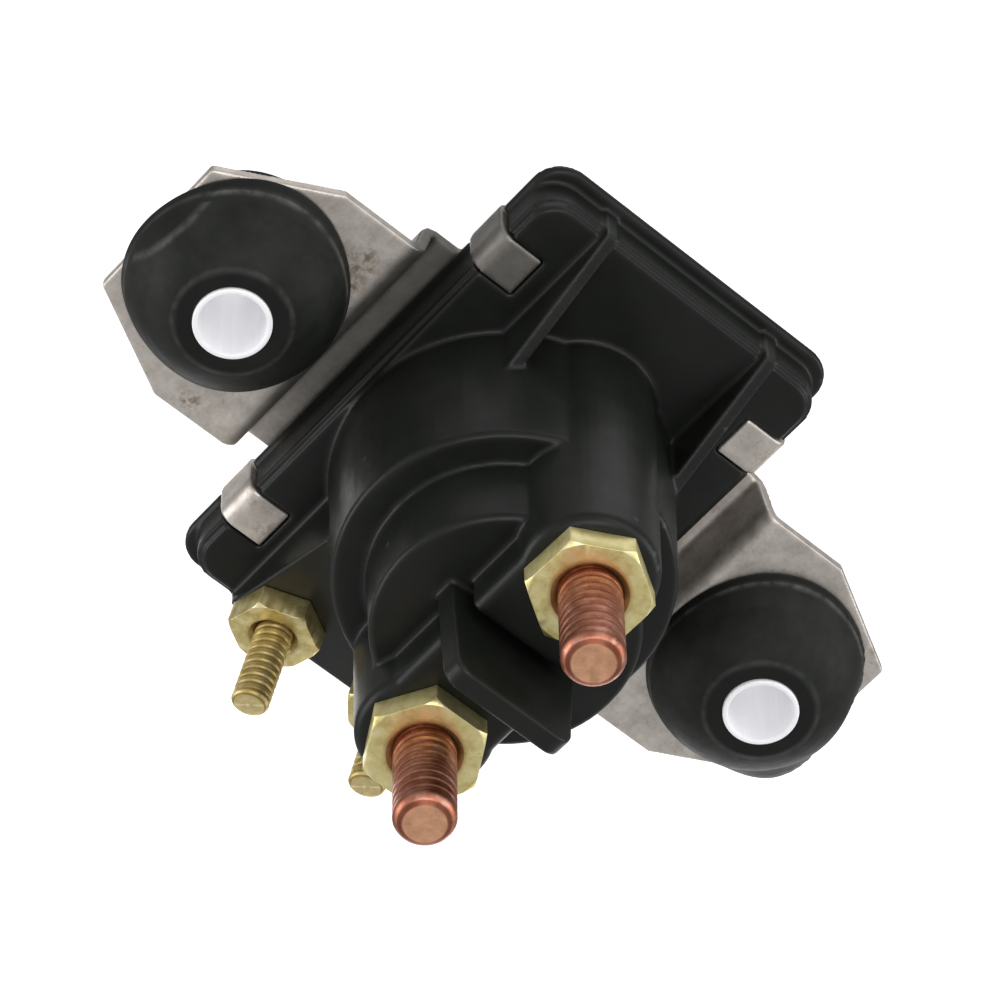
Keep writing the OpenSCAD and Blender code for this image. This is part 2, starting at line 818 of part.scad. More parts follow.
module plunger_buffer() {
    color("#2d302f")
        translate([0, 0, base_top])
            cylinder(r = buffer_r, h = buffer_t, $fn = small_fn);
}

module return_spring() {
    color("#b9bcc2")
        translate([0, 0, spring_low])
            coiled_wire(spring_d / 2, spring_wire / 2, spring_high - spring_low, spring_turns);
}

module contact_disc() {
    color("#c07a5c")
        difference() {
            translate([0, 0, contact_bottom])
                cylinder(d = contact_d, h = contact_t, $fn = round_fn);
            translate([0, 0, contact_bottom - over])
                cylinder(r = bush_r + nest_gap, h = contact_t + 2 * over, $fn = small_fn);
        }
}

module disc_bush() {
    color("#e4e0d2")
        difference() {
            union() {
                translate([0, 0, bush_bottom])
                    cylinder(r = bush_flange_r, h = bush_flange_t, $fn = small_fn);
                translate([0, 0, bush_bottom])
                    cylinder(r = bush_r, h = washer_top - bush_bottom, $fn = small_fn);
            }
            translate([0, 0, bush_bottom - over])
                cylinder(d = rod_d + 2 * nest_gap, h = washer_top - bush_bottom + 2 * over,
                    $fn = small_fn);
        }
}

module disc_washer() {
    color("#8c6a3c")
        difference() {
            translate([0, 0, contact_top])
                cylinder(r = bush_flange_r, h = washer_t, $fn = small_fn);
            translate([0, 0, contact_top - over])
                cylinder(r = bush_r + nest_gap, h = washer_t + 2 * over, $fn = small_fn);
        }
}

module contact_spring() {
    color("#b9bcc2")
        translate([0, 0, collar_top])
            coiled_wire(contact_spring_d / 2, contact_spring_wire / 2, bush_bottom - collar_top,
                contact_spring_turns);
}

module rod_clip() {
    mouth = clip_groove_r * clip_mouth_share;
    color("#8d9096")
        translate([0, 0, clip_bottom])
            difference() {
                cylinder(r = clip_r, h = clip_t, $fn = small_fn);
                translate([0, 0, -over])
                    cylinder(r = clip_groove_r + nest_gap, h = clip_t + 2 * over, $fn = small_fn);
                translate([0, -mouth / 2, -over])
                    cube([2 * clip_r, mouth, clip_t + 2 * over]);
            }
}

// Large stud with its flat contact head under the tower
module large_stud(side) {
    shank = tower_top - head_bottom;
    color("#c07a5c")
        translate([0, side * tower_y, head_bottom]) {
            cylinder(d = head_d, h = head_t, $fn = small_fn);
            stud_shank(stud_d, stud_core_d, shank, nut_t, shank + stud_out, tip_chamfer);
        }
}

module battery_stud() {
    large_stud(1);
}

module starter_stud() {
    large_stud(-1);
}

module stud_seal(side) {
    color("#303230")
        translate([0, side * tower_y, head_bottom + head_t])
            difference() {
                cylinder(d = head_d, h = seal_t, $fn = small_fn);
                translate([0, 0, -over])
                    cylinder(d = stud_d + 2 * nest_gap, h = seal_t + 2 * over, $fn = small_fn);
            }
}

module battery_stud_seal() {
    stud_seal(1);
}

module starter_stud_seal() {
    stud_seal(-1);
}

module large_nut(side, turn) {
    color("#cfc98a")
        translate([0, side * tower_y, tower_top])
            rotate([0, 0, turn])
                hex_nut(nut_af, nut_t, stud_core_d + 2 * nest_gap);
}

module battery_stud_nut() {
    large_nut(1, nut_turn[0]);
}

module starter_stud_nut() {
    large_nut(-1, nut_turn[1]);
}

// Small stud that leans away from the drum, square to the ramp
module coil_stud(side) {
    inside = coil_head_depth + coil_head_t;
    color("#b39a52")
        on_ramp(side)
            translate([0, 0, -inside]) {
                cylinder(d = coil_head_d, h = coil_head_t, $fn = small_fn);
                stud_shank(coil_stud_d, coil_stud_core_d, inside, coil_nut_t, inside + coil_stud_out,
                    coil_tip_chamfer);
                translate([0, 0, -coil_tail_len])
                    cylinder(r = coil_tail_r, h = coil_tail_len + coil_head_t / 2, $fn = small_fn);
            }
}

module coil_stud_left() {
    coil_stud(-1);
}

module coil_stud_right() {
    coil_stud(1);
}

module coil_nut(side, turn) {
    color("#c9b76e")
        on_ramp(side)
            rotate([0, 0, turn])
                hex_nut(coil_nut_af, coil_nut_t, coil_stud_core_d + 2 * nest_gap);
}

module coil_stud_nut_left() {
    coil_nut(-1, coil_nut_turn[0]);
}

module coil_stud_nut_right() {
    coil_nut(1, coil_nut_turn[1]);
}

// Half section of a grommet on one face of the ear's sheet: a flat disc on the sheet, with a
// round foot and a steep side, and a dome that runs up to the flat ring
function grommet_half(disc_r, foot_r) =
    let (
        foot = [disc_r - foot_r, sheet_t / 2 + foot_r],
        shoulder = [disc_r - disc_side_in, sheet_t / 2 + disc_side_h],
        ring = [grommet_ring_d / 2 - ring_round_r, grommet_face - ring_round_r],
        dome = meeting_point(shoulder, dome_r, ring, dome_r - ring_round_r),
        shoulder_angle = atan2(shoulder[1] - dome[1], shoulder[0] - dome[0]),
        ring_angle = atan2(ring[1] - dome[1], ring[0] - dome[0])
    )
    concat(
        [[grommet_neck_d / 2, sheet_t / 2]],
        arc(foot, foot_r, -90, 0, arc_steps / 2),
        arc(dome, dome_r, shoulder_angle, ring_angle),
        arc(ring, ring_round_r, ring_angle, 90, arc_steps / 2));

module grommet(side) {
    upper = grommet_half(grommet_d / 2, foot_round_r);
    under = grommet_half(grommet_d / 2 - low_disc_in, low_foot_round_r);
    lower = [for (p = reversed(under)) [p[0], -p[1]]];
    bore_r = sleeve_od / 2 + nest_gap;
    color("#2d302f")
        translate([side * hole_spacing / 2, 0, sleeve_len / 2])
            rotate_extrude($fn = round_fn)
                polygon(concat([[bore_r, -grommet_face]], lower, upper, [[bore_r, grommet_face]]));
}

module grommet_left() {
    grommet(-1);
}

module grommet_right() {
    grommet(1);
}

module sleeve(side) {
    color("#dcdce2")
        translate([side * hole_spacing / 2, 0, 0])
            difference() {
                cylinder(d = sleeve_od, h = sleeve_len, $fn = small_fn);
                translate([0, 0, -over])
                    cylinder(d = sleeve_id, h = sleeve_len + 2 * over, $fn = small_fn);
            }
}

module sleeve_left() {
    sleeve(-1);
}

module sleeve_right() {
    sleeve(1);
}

housing_cap();
mounting_bracket();
cap_gasket();
coil_base_plate();
coil_can();
pole_core();
coil_bobbin();
coil_winding();
coil_lead_left();
coil_lead_right();
plunger();
plunger_rod();
plunger_buffer();
return_spring();
contact_disc();
disc_bush();
disc_washer();
contact_spring();
rod_clip();
battery_stud();
starter_stud();
battery_stud_seal();
starter_stud_seal();
battery_stud_nut();
starter_stud_nut();
coil_stud_left();
coil_stud_right();
coil_stud_nut_left();
coil_stud_nut_right();
grommet_left();
grommet_right();
sleeve_left();
sleeve_right();
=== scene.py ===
import json
import math

import bmesh
import bpy
import numpy as np
from mathutils import Matrix, Vector


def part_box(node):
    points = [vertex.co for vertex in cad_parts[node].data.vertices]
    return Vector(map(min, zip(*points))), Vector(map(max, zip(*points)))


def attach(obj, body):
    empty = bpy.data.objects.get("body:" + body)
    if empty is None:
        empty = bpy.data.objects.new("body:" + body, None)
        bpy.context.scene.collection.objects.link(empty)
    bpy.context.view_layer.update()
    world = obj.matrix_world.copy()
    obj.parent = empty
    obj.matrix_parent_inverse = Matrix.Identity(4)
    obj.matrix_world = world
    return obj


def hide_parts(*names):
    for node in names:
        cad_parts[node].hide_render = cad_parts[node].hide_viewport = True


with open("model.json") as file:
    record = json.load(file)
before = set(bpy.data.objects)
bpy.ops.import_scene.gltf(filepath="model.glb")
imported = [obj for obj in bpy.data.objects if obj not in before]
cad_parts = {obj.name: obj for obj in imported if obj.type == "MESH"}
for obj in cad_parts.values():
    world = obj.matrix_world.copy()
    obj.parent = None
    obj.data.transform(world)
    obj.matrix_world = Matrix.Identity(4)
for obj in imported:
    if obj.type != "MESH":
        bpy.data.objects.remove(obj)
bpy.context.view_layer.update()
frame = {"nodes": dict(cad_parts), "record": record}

MM = 0.001
BODY = "relay"
SIDES = ("left", "right")
NO_STRETCH = (1, 1, 1)
BLACK = (0, 0, 0)
WHITE = (1, 1, 1)

# Large studs and nuts, in millimetres
STUD_ROOT_R = 3.1
STUD_PITCH = 1.411
STUD_TIP = 1.2
STUD_HEAD_R = 5.4
STUD_HEAD_T = 1.8
STUD_NUT_AF = 12.6
STUD_NUT_LIP = 0.24

# Small studs and nuts, in millimetres
COIL_STUD_ROOT_R = 1.85
COIL_STUD_PITCH = 1.058
COIL_STUD_TIP = 0.5
COIL_HEAD_R = 3.0
COIL_HEAD_T = 1.4
COIL_HEAD_DEPTH = 3.0
COIL_TAIL_R = 1.0
COIL_TAIL_LEN = 1.6
COIL_NUT_AF = 9.8
COIL_NUT_T = 3.1
COIL_NUT_LIP = 0.45

# Grommets and sleeves, in millimetres
SHEET_T = 1.45
DISC_R = 13.0
DISC_FOOT_ROUND = 0.3
DISC_SIDE_IN = 0.3
DISC_SIDE_H = 1.5
LOW_DISC_IN = 0.55
LOW_FOOT_ROUND = 1.2
DOME_R = 11.5
GROMMET_NECK_R = 7.9
GROMMET_RING_R = 7.0
GROMMET_RING_ROUND = 1.0
GROMMET_BORE_R = 4.55
GROMMET_BORE_EASE = 0.15
GROMMET_FACE = 9.2
SLEEVE_OUT_R = 4.5
SLEEVE_IN_R = 3.85
SLEEVE_LIP = 0.22


def mount(name):
    """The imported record's row for one mount."""
    return next(row for row in frame["record"]["mounts"] if row["name"] == name)


def clamped(value):
    """The value kept between 0 and 1."""
    return max(0.0, min(1.0, value))


# Mesh helpers

BEVEL_SEGMENTS = 3
SMOOTH_FACTOR = 0.5


def link_mesh(name, vertices, faces):
    """A new object at the origin with this mesh, which is in metres."""
    mesh = bpy.data.meshes.new(name)
    mesh.from_pydata([tuple(v) for v in vertices], [], faces)
    mesh.update()
    piece = bpy.data.objects.new(name, mesh)
    bpy.context.scene.collection.objects.link(piece)
    return piece


def tidy_mesh(piece, merge):
    """Merges points less than merge millimetres apart, turns the faces outward and smooths them."""
    work = bmesh.new()
    work.from_mesh(piece.data)
    bmesh.ops.remove_doubles(work, verts=work.verts, dist=merge * MM)
    bmesh.ops.recalc_face_normals(work, faces=work.faces)
    for face in work.faces:
        face.smooth = True
    work.to_mesh(piece.data)
    work.free()
    piece.data.update()


def apply_modifiers(piece):
    """Makes the modifiers' result the piece's own mesh."""
    graph = bpy.context.evaluated_depsgraph_get()
    graph.update()
    result = bpy.data.meshes.new_from_object(piece.evaluated_get(graph))
    piece.modifiers.clear()
    piece.data = result


def bevel_edges(piece, width, angle):
    """Rounds the edges that are sharper than the angle."""
    bevel = piece.modifiers.new("edges", "BEVEL")
    bevel.width = width * MM
    bevel.segments = BEVEL_SEGMENTS
    bevel.limit_method = "ANGLE"
    bevel.angle_limit = math.radians(angle)
    bevel.harden_normals = True
    apply_modifiers(piece)


def soften(piece, voxel, passes):
    """Rebuilds the mesh in small faces and rounds its inner and outer edges."""
    remesh = piece.modifiers.new("faces", "REMESH")
    remesh.mode = "VOXEL"
    remesh.voxel_size = voxel * MM
    remesh.use_smooth_shade = True
    smooth = piece.modifiers.new("round", "SMOOTH")
    smooth.factor = SMOOTH_FACTOR
    smooth.iterations = passes
    apply_modifiers(piece)


def shade_by_angle(piece, angle):
    """Smooth shading with edges sharper than the angle kept crisp."""
    piece.data.shade_smooth()
    piece.data.set_sharp_from_angle(angle=math.radians(angle))


def turned_grid(rows, columns, radius_of):
    """Points of a turned surface: one ring for each row, whose radius may vary round it."""
    points = []
    for row in rows:
        for column in range(columns):
            angle = 2 * math.pi * column / columns
            r, z = radius_of(row, angle)
            points.append((r * math.cos(angle), r * math.sin(angle), z))
    return points


def grid_faces(row_count, columns, closed):
    """Four-sided faces between neighbouring rings, and from last back to first if closed."""
    faces = []
    last = row_count if closed else row_count - 1
    for row in range(last):
        upper = (row + 1) % row_count
        for column in range(columns):
            side = (column + 1) % columns
            faces.append((row * columns + column, row * columns + side,
                          upper * columns + side, upper * columns + column))
    return faces


def mark_points(piece, name, values):
    """Stores one number for each point of a piece, which its material reads."""
    layer = piece.data.attributes.new(name, "FLOAT", "POINT")
    layer.data.foreach_set("value", np.array(values, np.float32))


def placed(points, place):
    """Millimetre points moved by a matrix in metres."""
    return [place @ (Vector(p) * MM) for p in points]


def upright_at(seat, axis):
    """The matrix that puts the origin on a seat and turns Z along an axis."""
    turn = Vector((0, 0, 1)).rotation_difference(axis).to_matrix().to_4x4()
    return Matrix.Translation(seat) @ turn


def refine(profile, step):
    """The same profile with points no further apart than step."""
    result = []
    for start, end in zip(profile, profile[1:]):
        length = math.dist(start, end)
        count = max(1, math.ceil(length / step))
        for i in range(count):
            t = i / count
            result.append(tuple(a + (b - a) * t for a, b in zip(start, end)))
    result.append(tuple(profile[-1]))
    return result


def arc(centre, radius, start, end, steps):
    """Points of an arc between two angles in degrees."""
    result = []
    for i in range(steps + 1):
        angle = math.radians(start + (end - start) * i / steps)
        result.append((centre[0] + radius * math.cos(angle), centre[1] + radius * math.sin(angle)))
    return result


def dress(piece, material, slot, *nodes):
    """Gives a finished piece its material and body, and hides the nodes that it stands for."""
    piece.data.materials.clear()
    piece.data.materials.append(material)
    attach(piece, BODY)
    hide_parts(*nodes)


# Material helpers

def feed(tree, socket, value):
    """Links a socket to a socket, or sets a plain value."""
    if isinstance(value, bpy.types.NodeSocket):
        tree.links.new(value, socket)
    else:
        socket.default_value = value


def add_node(tree, kind, inputs=None, **settings):
    """A new node with its settings and inputs."""
    node = tree.nodes.new(kind)
    for name, value in settings.items():
        setattr(node, name, value)
    for name, value in (inputs or {}).items():
        feed(tree, node.inputs[name], value)
    return node


def place_of(tree, stretch=NO_STRETCH):
    """Coordinates in metres on the piece at rest, stretched to draw a grain out."""
    coordinates = add_node(tree, "ShaderNodeTexCoord")
    mapping = add_node(tree, "ShaderNodeMapping", {"Vector": coordinates.outputs["Object"]})
    mapping.inputs["Scale"].default_value = stretch
    return mapping.outputs["Vector"]


def marked(tree, name):
    """The number that mark_points stored under this name."""
    return add_node(tree, "ShaderNodeAttribute", attribute_name=name).outputs["Fac"]


def noise(tree, size, detail, roughness=0.5, stretch=NO_STRETCH):
    """Noise whose features are about size millimetres across."""
    node = add_node(tree, "ShaderNodeTexNoise", {"Vector": place_of(tree, stretch)})
    node.inputs["Scale"].default_value = 1 / (size * MM)
    node.inputs["Detail"].default_value = detail
    node.inputs["Roughness"].default_value = roughness
    return node.outputs["Fac"]


def ramp(tree, factor, stops):
    """Colours or greys along a factor: stops are (place, colour)."""
    node = add_node(tree, "ShaderNodeValToRGB", {"Fac": factor})
    elements = node.color_ramp.elements
    while len(elements) < len(stops):
        elements.new(0.5)
    for element, (position, colour) in zip(elements, stops):
        element.position = position
        if isinstance(colour, (int, float)):
            colour = (colour, colour, colour)
        element.color = (*colour, 1)
    return node.outputs["Color"]


def patches(tree, size, detail, start, full, least=0.0, most=1.0, roughness=0.5):
    """Patches in a noise: least up to its value start, and most from its value full."""
    return ramp(tree, noise(tree, size, detail, roughness), [(start, least), (full, most)])


def blend_colours(tree, factor, first, second, mode="MIX"):
    """Mixes two colours or sockets by a factor."""
    node = add_node(tree, "ShaderNodeMixRGB", blend_type=mode)
    for name, value in (("Fac", factor), ("Color1", first), ("Color2", second)):
        if isinstance(value, tuple) and len(value) == 3:
            value = (*value, 1)
        feed(tree, node.inputs[name], value)
    return node.outputs["Color"]


def product(tree, first, second):
    """Two factors multiplied."""
    return blend_colours(tree, first, BLACK, second)


def scale_value(tree, value, low, high):
    """Maps a factor from 0..1 to low..high."""
    node = add_node(tree, "ShaderNodeMapRange", {"Value": value})
    node.inputs["To Min"].default_value = low
    node.inputs["To Max"].default_value = high
    return node.outputs["Result"]


def share_between(tree, value, low, high, **settings):
    """0 up to the low value, rising to 1 at the high one."""
    node = add_node(tree, "ShaderNodeMapRange", {"Value": value}, **settings)
    node.inputs["From Min"].default_value = low
    node.inputs["From Max"].default_value = high
    return node.outputs["Result"]


def rising(tree, value, low, high):
    """0 up to the low value, rising smoothly to 1 at the high one."""
    return share_between(tree, value, low, high, interpolation_type="SMOOTHSTEP")


def edge_factor(tree, low, high):
    """0 in hollows and on flats, 1 on outer edges."""
    geometry = add_node(tree, "ShaderNodeNewGeometry")
    return share_between(tree, geometry.outputs["Pointiness"], low, high)


def new_material(name, metallic=0.0, specular=0.5):
    """A material, its node tree and its shader."""
    material = bpy.data.materials.new(name)
    material.use_nodes = True
    tree = material.node_tree
    shader = tree.nodes["Principled BSDF"]
    shader.inputs["Metallic"].default_value = metallic
    shader.inputs["Specular IOR Level"].default_value = specular
    return material, tree, shader


def vary_roughness(tree, shader, factor, low, high):
    """Roughness that wanders from low to high with a factor."""
    feed(tree, shader.inputs["Roughness"], scale_value(tree, factor, low, high))


def layer_bumps(tree, shader, layers):
    """Bumps on top of each other: each one's height map, depth in millimetres and strength."""
    normal = None
    for height, depth, strength in layers:
        node = add_node(tree, "ShaderNodeBump", {"Height": height})
        node.inputs["Strength"].default_value = strength
        node.inputs["Distance"].default_value = depth * MM
        if normal is not None:
            feed(tree, node.inputs["Normal"], normal)
        normal = node.outputs["Normal"]
    feed(tree, shader.inputs["Normal"], normal)


def glow(shader, strength):
    """A faint white light of the surface's own."""
    shader.inputs["Emission Color"].default_value = (*WHITE, 1)
    shader.inputs["Emission Strength"].default_value = strength


def scaled(colour, share):
    """A colour made darker or lighter, as far as white."""
    return tuple(min(1.0, share * channel) for channel in colour)


# Materials: colours are linear red, green and blue, and sizes are in millimetres

CAP_DARK = (0.0058, 0.0070, 0.0056)
CAP_LIGHT = (0.0098, 0.0113, 0.0094)
CAP_SPECK = (0.04, 0.042, 0.038)
# The edges' colour: scuffing with a painted highlight
CAP_EDGE_WEAR_AND_HIGHLIGHT = (0.034, 0.036, 0.034)

RUBBER_DARK = (0.0068, 0.0082, 0.0066)
RUBBER_BLOOM = (0.0175, 0.019, 0.0165)
RUBBER_DUST = (0.07, 0.07, 0.062)
# Pale rubber: rubbing with a painted highlight
RUBBER_RUBBED_AND_HIGHLIT = (0.085, 0.087, 0.08)
RUBBER_SHADED = (0.004, 0.0045, 0.004)

STEEL_TONES = [(0.28, (0.48, 0.435, 0.395)), (0.5, (0.64, 0.59, 0.54)), (0.72, (0.78, 0.73, 0.675))]
STEEL_STAIN = (0.36, 0.31, 0.25)
STEEL_BROWN = (0.24, 0.19, 0.12)
STEEL_SPECK = (0.22, 0.19, 0.165)
# Painted shade for the strip beside the left ear
STEEL_STRIP_SHADE = (0.12, 0.118, 0.108)
# Bright cut edges with a painted highlight
STEEL_EDGE_AND_HIGHLIGHT = (0.88, 0.85, 0.81)
STEEL_GRAIN_SHARE = 0.07
# Brown stains on the ears: where each is and how far it reaches
BROWN_STAINS = [((-31.2, 11.7, 10.2), 2.6), ((-30.1, 8.7, 10.2), 2.0), ((-34.4, -14.8, 10.2), 1.6)]
# The painted shade on the strip of the plate beside the left ear: where it fades in and out along
# X, where it fades in along Y, and how much of the shade colour it takes
SHADE_IN_X = (-29.2, -27.4)
SHADE_OUT_X = (-18.0, 0.0)
SHADE_IN_Y = (-19.0, -5.0)
SHADE_SHARE = 0.75

SLEEVE_TONES = [(0.3, (0.88, 0.88, 0.9)), (0.7, (0.93, 0.93, 0.95))]
# Painted light: a faint glow that lightens the sleeve's shaded bore
SLEEVE_PAINTED_GLOW = 0.055

# Copper alloys: how far the roughness wanders below and above its middle, and the end face's
# darker tone as a share of its tint
ALLOY_ROUGH_BELOW = 0.07
ALLOY_ROUGH_ABOVE = 0.09
TINT_DARK_SHARE = 0.74
# Inner pieces: the same, and the dark and light tones as shares of the colour
INNER_ROUGH_BELOW = 0.06
INNER_ROUGH_ABOVE = 0.08
INNER_DARK_SHARE = 0.78
INNER_LIGHT_SHARE = 1.15


def cap_plastic():
    """Near-black moulded plastic: satin, with fine specks, faint flow marks and scuffed edges that
    carry a painted highlight.
    """
    material, tree, shader = new_material("cap_plastic", specular=0.27)
    body = ramp(tree, noise(tree, 6.0, detail=4), [(0.3, CAP_DARK), (0.7, CAP_LIGHT)])
    specks = patches(tree, 0.2, detail=2, start=0.75, full=0.8)
    dusty = blend_colours(tree, specks, body, CAP_SPECK)
    # Outer edges lighter: scuffing and a painted highlight
    edge_wear_and_highlight = blend_colours(tree, edge_factor(tree, low=0.53, high=0.62), dusty, CAP_EDGE_WEAR_AND_HIGHLIGHT)
    feed(tree, shader.inputs["Base Color"], edge_wear_and_highlight)
    vary_roughness(tree, shader, noise(tree, 2.2, detail=4), low=0.3, high=0.46)
    grain = (noise(tree, 0.35, detail=2), 0.012, 0.5)
    flow_marks = (noise(tree, 6.0, detail=2), 0.16, 0.45)
    layer_bumps(tree, shader, [grain, flow_marks])
    return material


def rubber():
    """Matte charcoal rubber with a bloom, pale where an attribute marks rubbing and a painted
    highlight, and dark where another marks painted shade.
    """
    material, tree, shader = new_material("rubber", specular=0.2)
    bloom = patches(tree, 4.5, detail=6, start=0.35, full=0.75, roughness=0.62)
    body = blend_colours(tree, bloom, RUBBER_DARK, RUBBER_BLOOM)
    dust = patches(tree, 0.16, detail=2, start=0.74, full=0.8, most=0.6)
    dusty = blend_colours(tree, dust, body, RUBBER_DUST)
    # Rubbing and painted highlight, where the attribute marks them
    wear = ramp(tree, marked(tree, "wear"), [(0.05, 0.0), (1.0, 1.0)])
    patchy = patches(tree, 2.6, detail=5, start=0.36, full=0.62, least=0.15, roughness=0.6)
    pale = blend_colours(tree, product(tree, wear, patchy), dusty, RUBBER_RUBBED_AND_HIGHLIT)
    # Painted shade, where the shade attribute marks it
    shade = ramp(tree, marked(tree, "shade"), [(0.0, 0.0), (1.0, 0.6)])
    feed(tree, shader.inputs["Base Color"], blend_colours(tree, shade, pale, RUBBER_SHADED))
    vary_roughness(tree, shader, noise(tree, 1.2, detail=4), low=0.46, high=0.66)
    grain = (noise(tree, 0.25, detail=3), 0.02, 0.6)
    dents = (noise(tree, 3.0, detail=3), 0.2, 0.45)
    layer_bumps(tree, shader, [grain, dents])
    return material


def brown_stains(tree, body):
    """The sheet's colour with its brown stains."""
    patchy = patches(tree, 0.9, detail=5, start=0.42, full=0.6, most=0.85, roughness=0.65)
    for centre, reach in BROWN_STAINS:
        near = add_node(tree, "ShaderNodeVectorMath", {0: place_of(tree)}, operation="DISTANCE")
        near.inputs[1].default_value = Vector(centre) * MM
        closeness = scale_value(tree, near.outputs["Value"], 1.0, 1 - 1 / (reach * MM))
        inside = ramp(tree, closeness, [(0.0, 0.0), (0.6, 1.0)])
        body = blend_colours(tree, product(tree, inside, patchy), body, STEEL_BROWN)
    return body


def painted_shade_strip(tree, body):
    """The sheet's colour with painted shade on the strip beside the left ear."""
    place = add_node(tree, "ShaderNodeSeparateXYZ", {"Vector": place_of(tree)}).outputs
    past_ear = rising(tree, place["X"], *(x * MM for x in SHADE_IN_X))
    under_cap = rising(tree, place["X"], *(x * MM for x in SHADE_OUT_X))
    along = rising(tree, place["Y"], *(y * MM for y in SHADE_IN_Y))
    # Painted shade on the strip between the ear's bend and the cap
    strip = product(tree, along, blend_colours(tree, under_cap, past_ear, BLACK))
    return blend_colours(tree, blend_colours(tree, 1 - SHADE_SHARE, strip, BLACK), body, STEEL_STRIP_SHADE)


def bracket_steel():
    """Dull plated sheet: warm grey, mottled and specked, with brown stains, bright edges that carry
    a painted highlight, and painted shade on the strip beside the left ear.
    """
    material, tree, shader = new_material("bracket_steel", metallic=0.92)
    body = ramp(tree, noise(tree, 2.4, detail=7, roughness=0.66), STEEL_TONES)
    stains = patches(tree, 4.6, detail=7, start=0.58, full=0.7, most=0.8, roughness=0.7)
    stained = brown_stains(tree, blend_colours(tree, stains, body, STEEL_STAIN))
    specks = patches(tree, 0.45, detail=4, start=0.62, full=0.72, most=0.7, roughness=0.7)
    specked = blend_colours(tree, specks, stained, STEEL_SPECK)
    rolled = noise(tree, 0.45, detail=3, roughness=0.6, stretch=(1, 0.25, 1))
    grain = ramp(tree, rolled, [(0.3, 0.12), (0.7, 0.9)])
    grained = blend_colours(tree, STEEL_GRAIN_SHARE, specked, grain, "OVERLAY")
    # Edges lighter: bright cut edges and a painted highlight
    edges = edge_factor(tree, low=0.54, high=0.64)
    feed(tree, shader.inputs["Base Color"],
         blend_colours(tree, edges, painted_shade_strip(tree, grained), STEEL_EDGE_AND_HIGHLIGHT))
    vary_roughness(tree, shader, noise(tree, 1.6, detail=5), low=0.36, high=0.6)
    lines = (rolled, 0.008, 0.35)
    pits = (noise(tree, 0.8, detail=4), 0.03, 0.4)
    waves = (noise(tree, 5.0, detail=2), 0.1, 0.35)
    layer_bumps(tree, shader, [lines, pits, waves])
    return material


def sleeve_steel():
    """Bright plated tube, nearly white, with faint draw lines and a faint painted glow that
    lightens its shaded bore.
    """
    material, tree, shader = new_material("sleeve_steel", specular=0.6)
    lines = noise(tree, 0.5, detail=2, stretch=(1, 1, 0.05))
    feed(tree, shader.inputs["Base Color"], ramp(tree, lines, SLEEVE_TONES))
    vary_roughness(tree, shader, noise(tree, 1.0, detail=3), low=0.26, high=0.4)
    layer_bumps(tree, shader, [(lines, 0.004, 0.3)])
    # Painted light: the sleeve glows faintly
    glow(shader, SLEEVE_PAINTED_GLOW)
    return material


def worn_metal_with_painted_light(name, dark, body, bright, grime_and_shade, rough, metallic=1.0, tint=None):
    """Bare copper alloy: mottled, bright on its edges from use and a painted highlight, dark where
    an attribute marks the thread's roots, painted shade on a stud's chamfer and a stain round a
    nut's hole, and with a tint of its own where another marks the end's face."""
    material, tree, shader = new_material(name, metallic=metallic)
    mottle = noise(tree, 1.6, detail=5, roughness=0.6)
    spots = patches(tree, 0.5, detail=4, start=0.64, full=0.76, most=0.6, roughness=0.65)
    tones = ramp(tree, mottle, [(0.28, dark), (0.5, body), (0.78, bright)])
    spotted = blend_colours(tree, spots, tones, grime_and_shade)
    if tint:
        face_tones = ramp(tree, noise(tree, 1.3, detail=5, roughness=0.6),
                          [(0.35, scaled(tint, TINT_DARK_SHARE)), (0.62, tint)])
        face = blend_colours(tree, spots, face_tones, grime_and_shade)
        spotted = blend_colours(tree, marked(tree, "face"), spotted, face)
    # Edges lighter from use and a painted highlight
    worn_and_highlit = blend_colours(tree, edge_factor(tree, low=0.54, high=0.68), spotted, bright)
    # Darker where the groove attribute marks it: the thread's roots, painted shade on a stud's
    # chamfer and the stain round a nut's hole
    depth = ramp(tree, marked(tree, "groove"), [(0.1, 0.0), (1.0, 0.85)])
    feed(tree, shader.inputs["Base Color"], blend_colours(tree, depth, worn_and_highlit, grime_and_shade))
    vary_roughness(tree, shader, noise(tree, 0.9, detail=4), rough - ALLOY_ROUGH_BELOW,
                   rough + ALLOY_ROUGH_ABOVE)
    grain = (noise(tree, 0.18, detail=3), 0.008, 0.5)
    dents = (noise(tree, 1.4, detail=2), 0.04, 0.4)
    layer_bumps(tree, shader, [grain, dents])
    return material


def plain_finish(name, colour, rough, metallic=0.0, size=1.5, stretch=NO_STRETCH):
    """Finish of a sealed inner piece: its colour, mottled, with a grain."""
    material, tree, shader = new_material(name, metallic=metallic)
    mottle = noise(tree, size, detail=4, roughness=0.55, stretch=stretch)
    tones = ramp(tree, mottle, [(0.3, scaled(colour, INNER_DARK_SHARE)),
                                (0.7, scaled(colour, INNER_LIGHT_SHARE))])
    feed(tree, shader.inputs["Base Color"], tones)
    vary_roughness(tree, shader, mottle, rough - INNER_ROUGH_BELOW, rough + INNER_ROUGH_ABOVE)
    layer_bumps(tree, shader, [(noise(tree, 0.3, detail=2), 0.01, 0.4)])
    return material


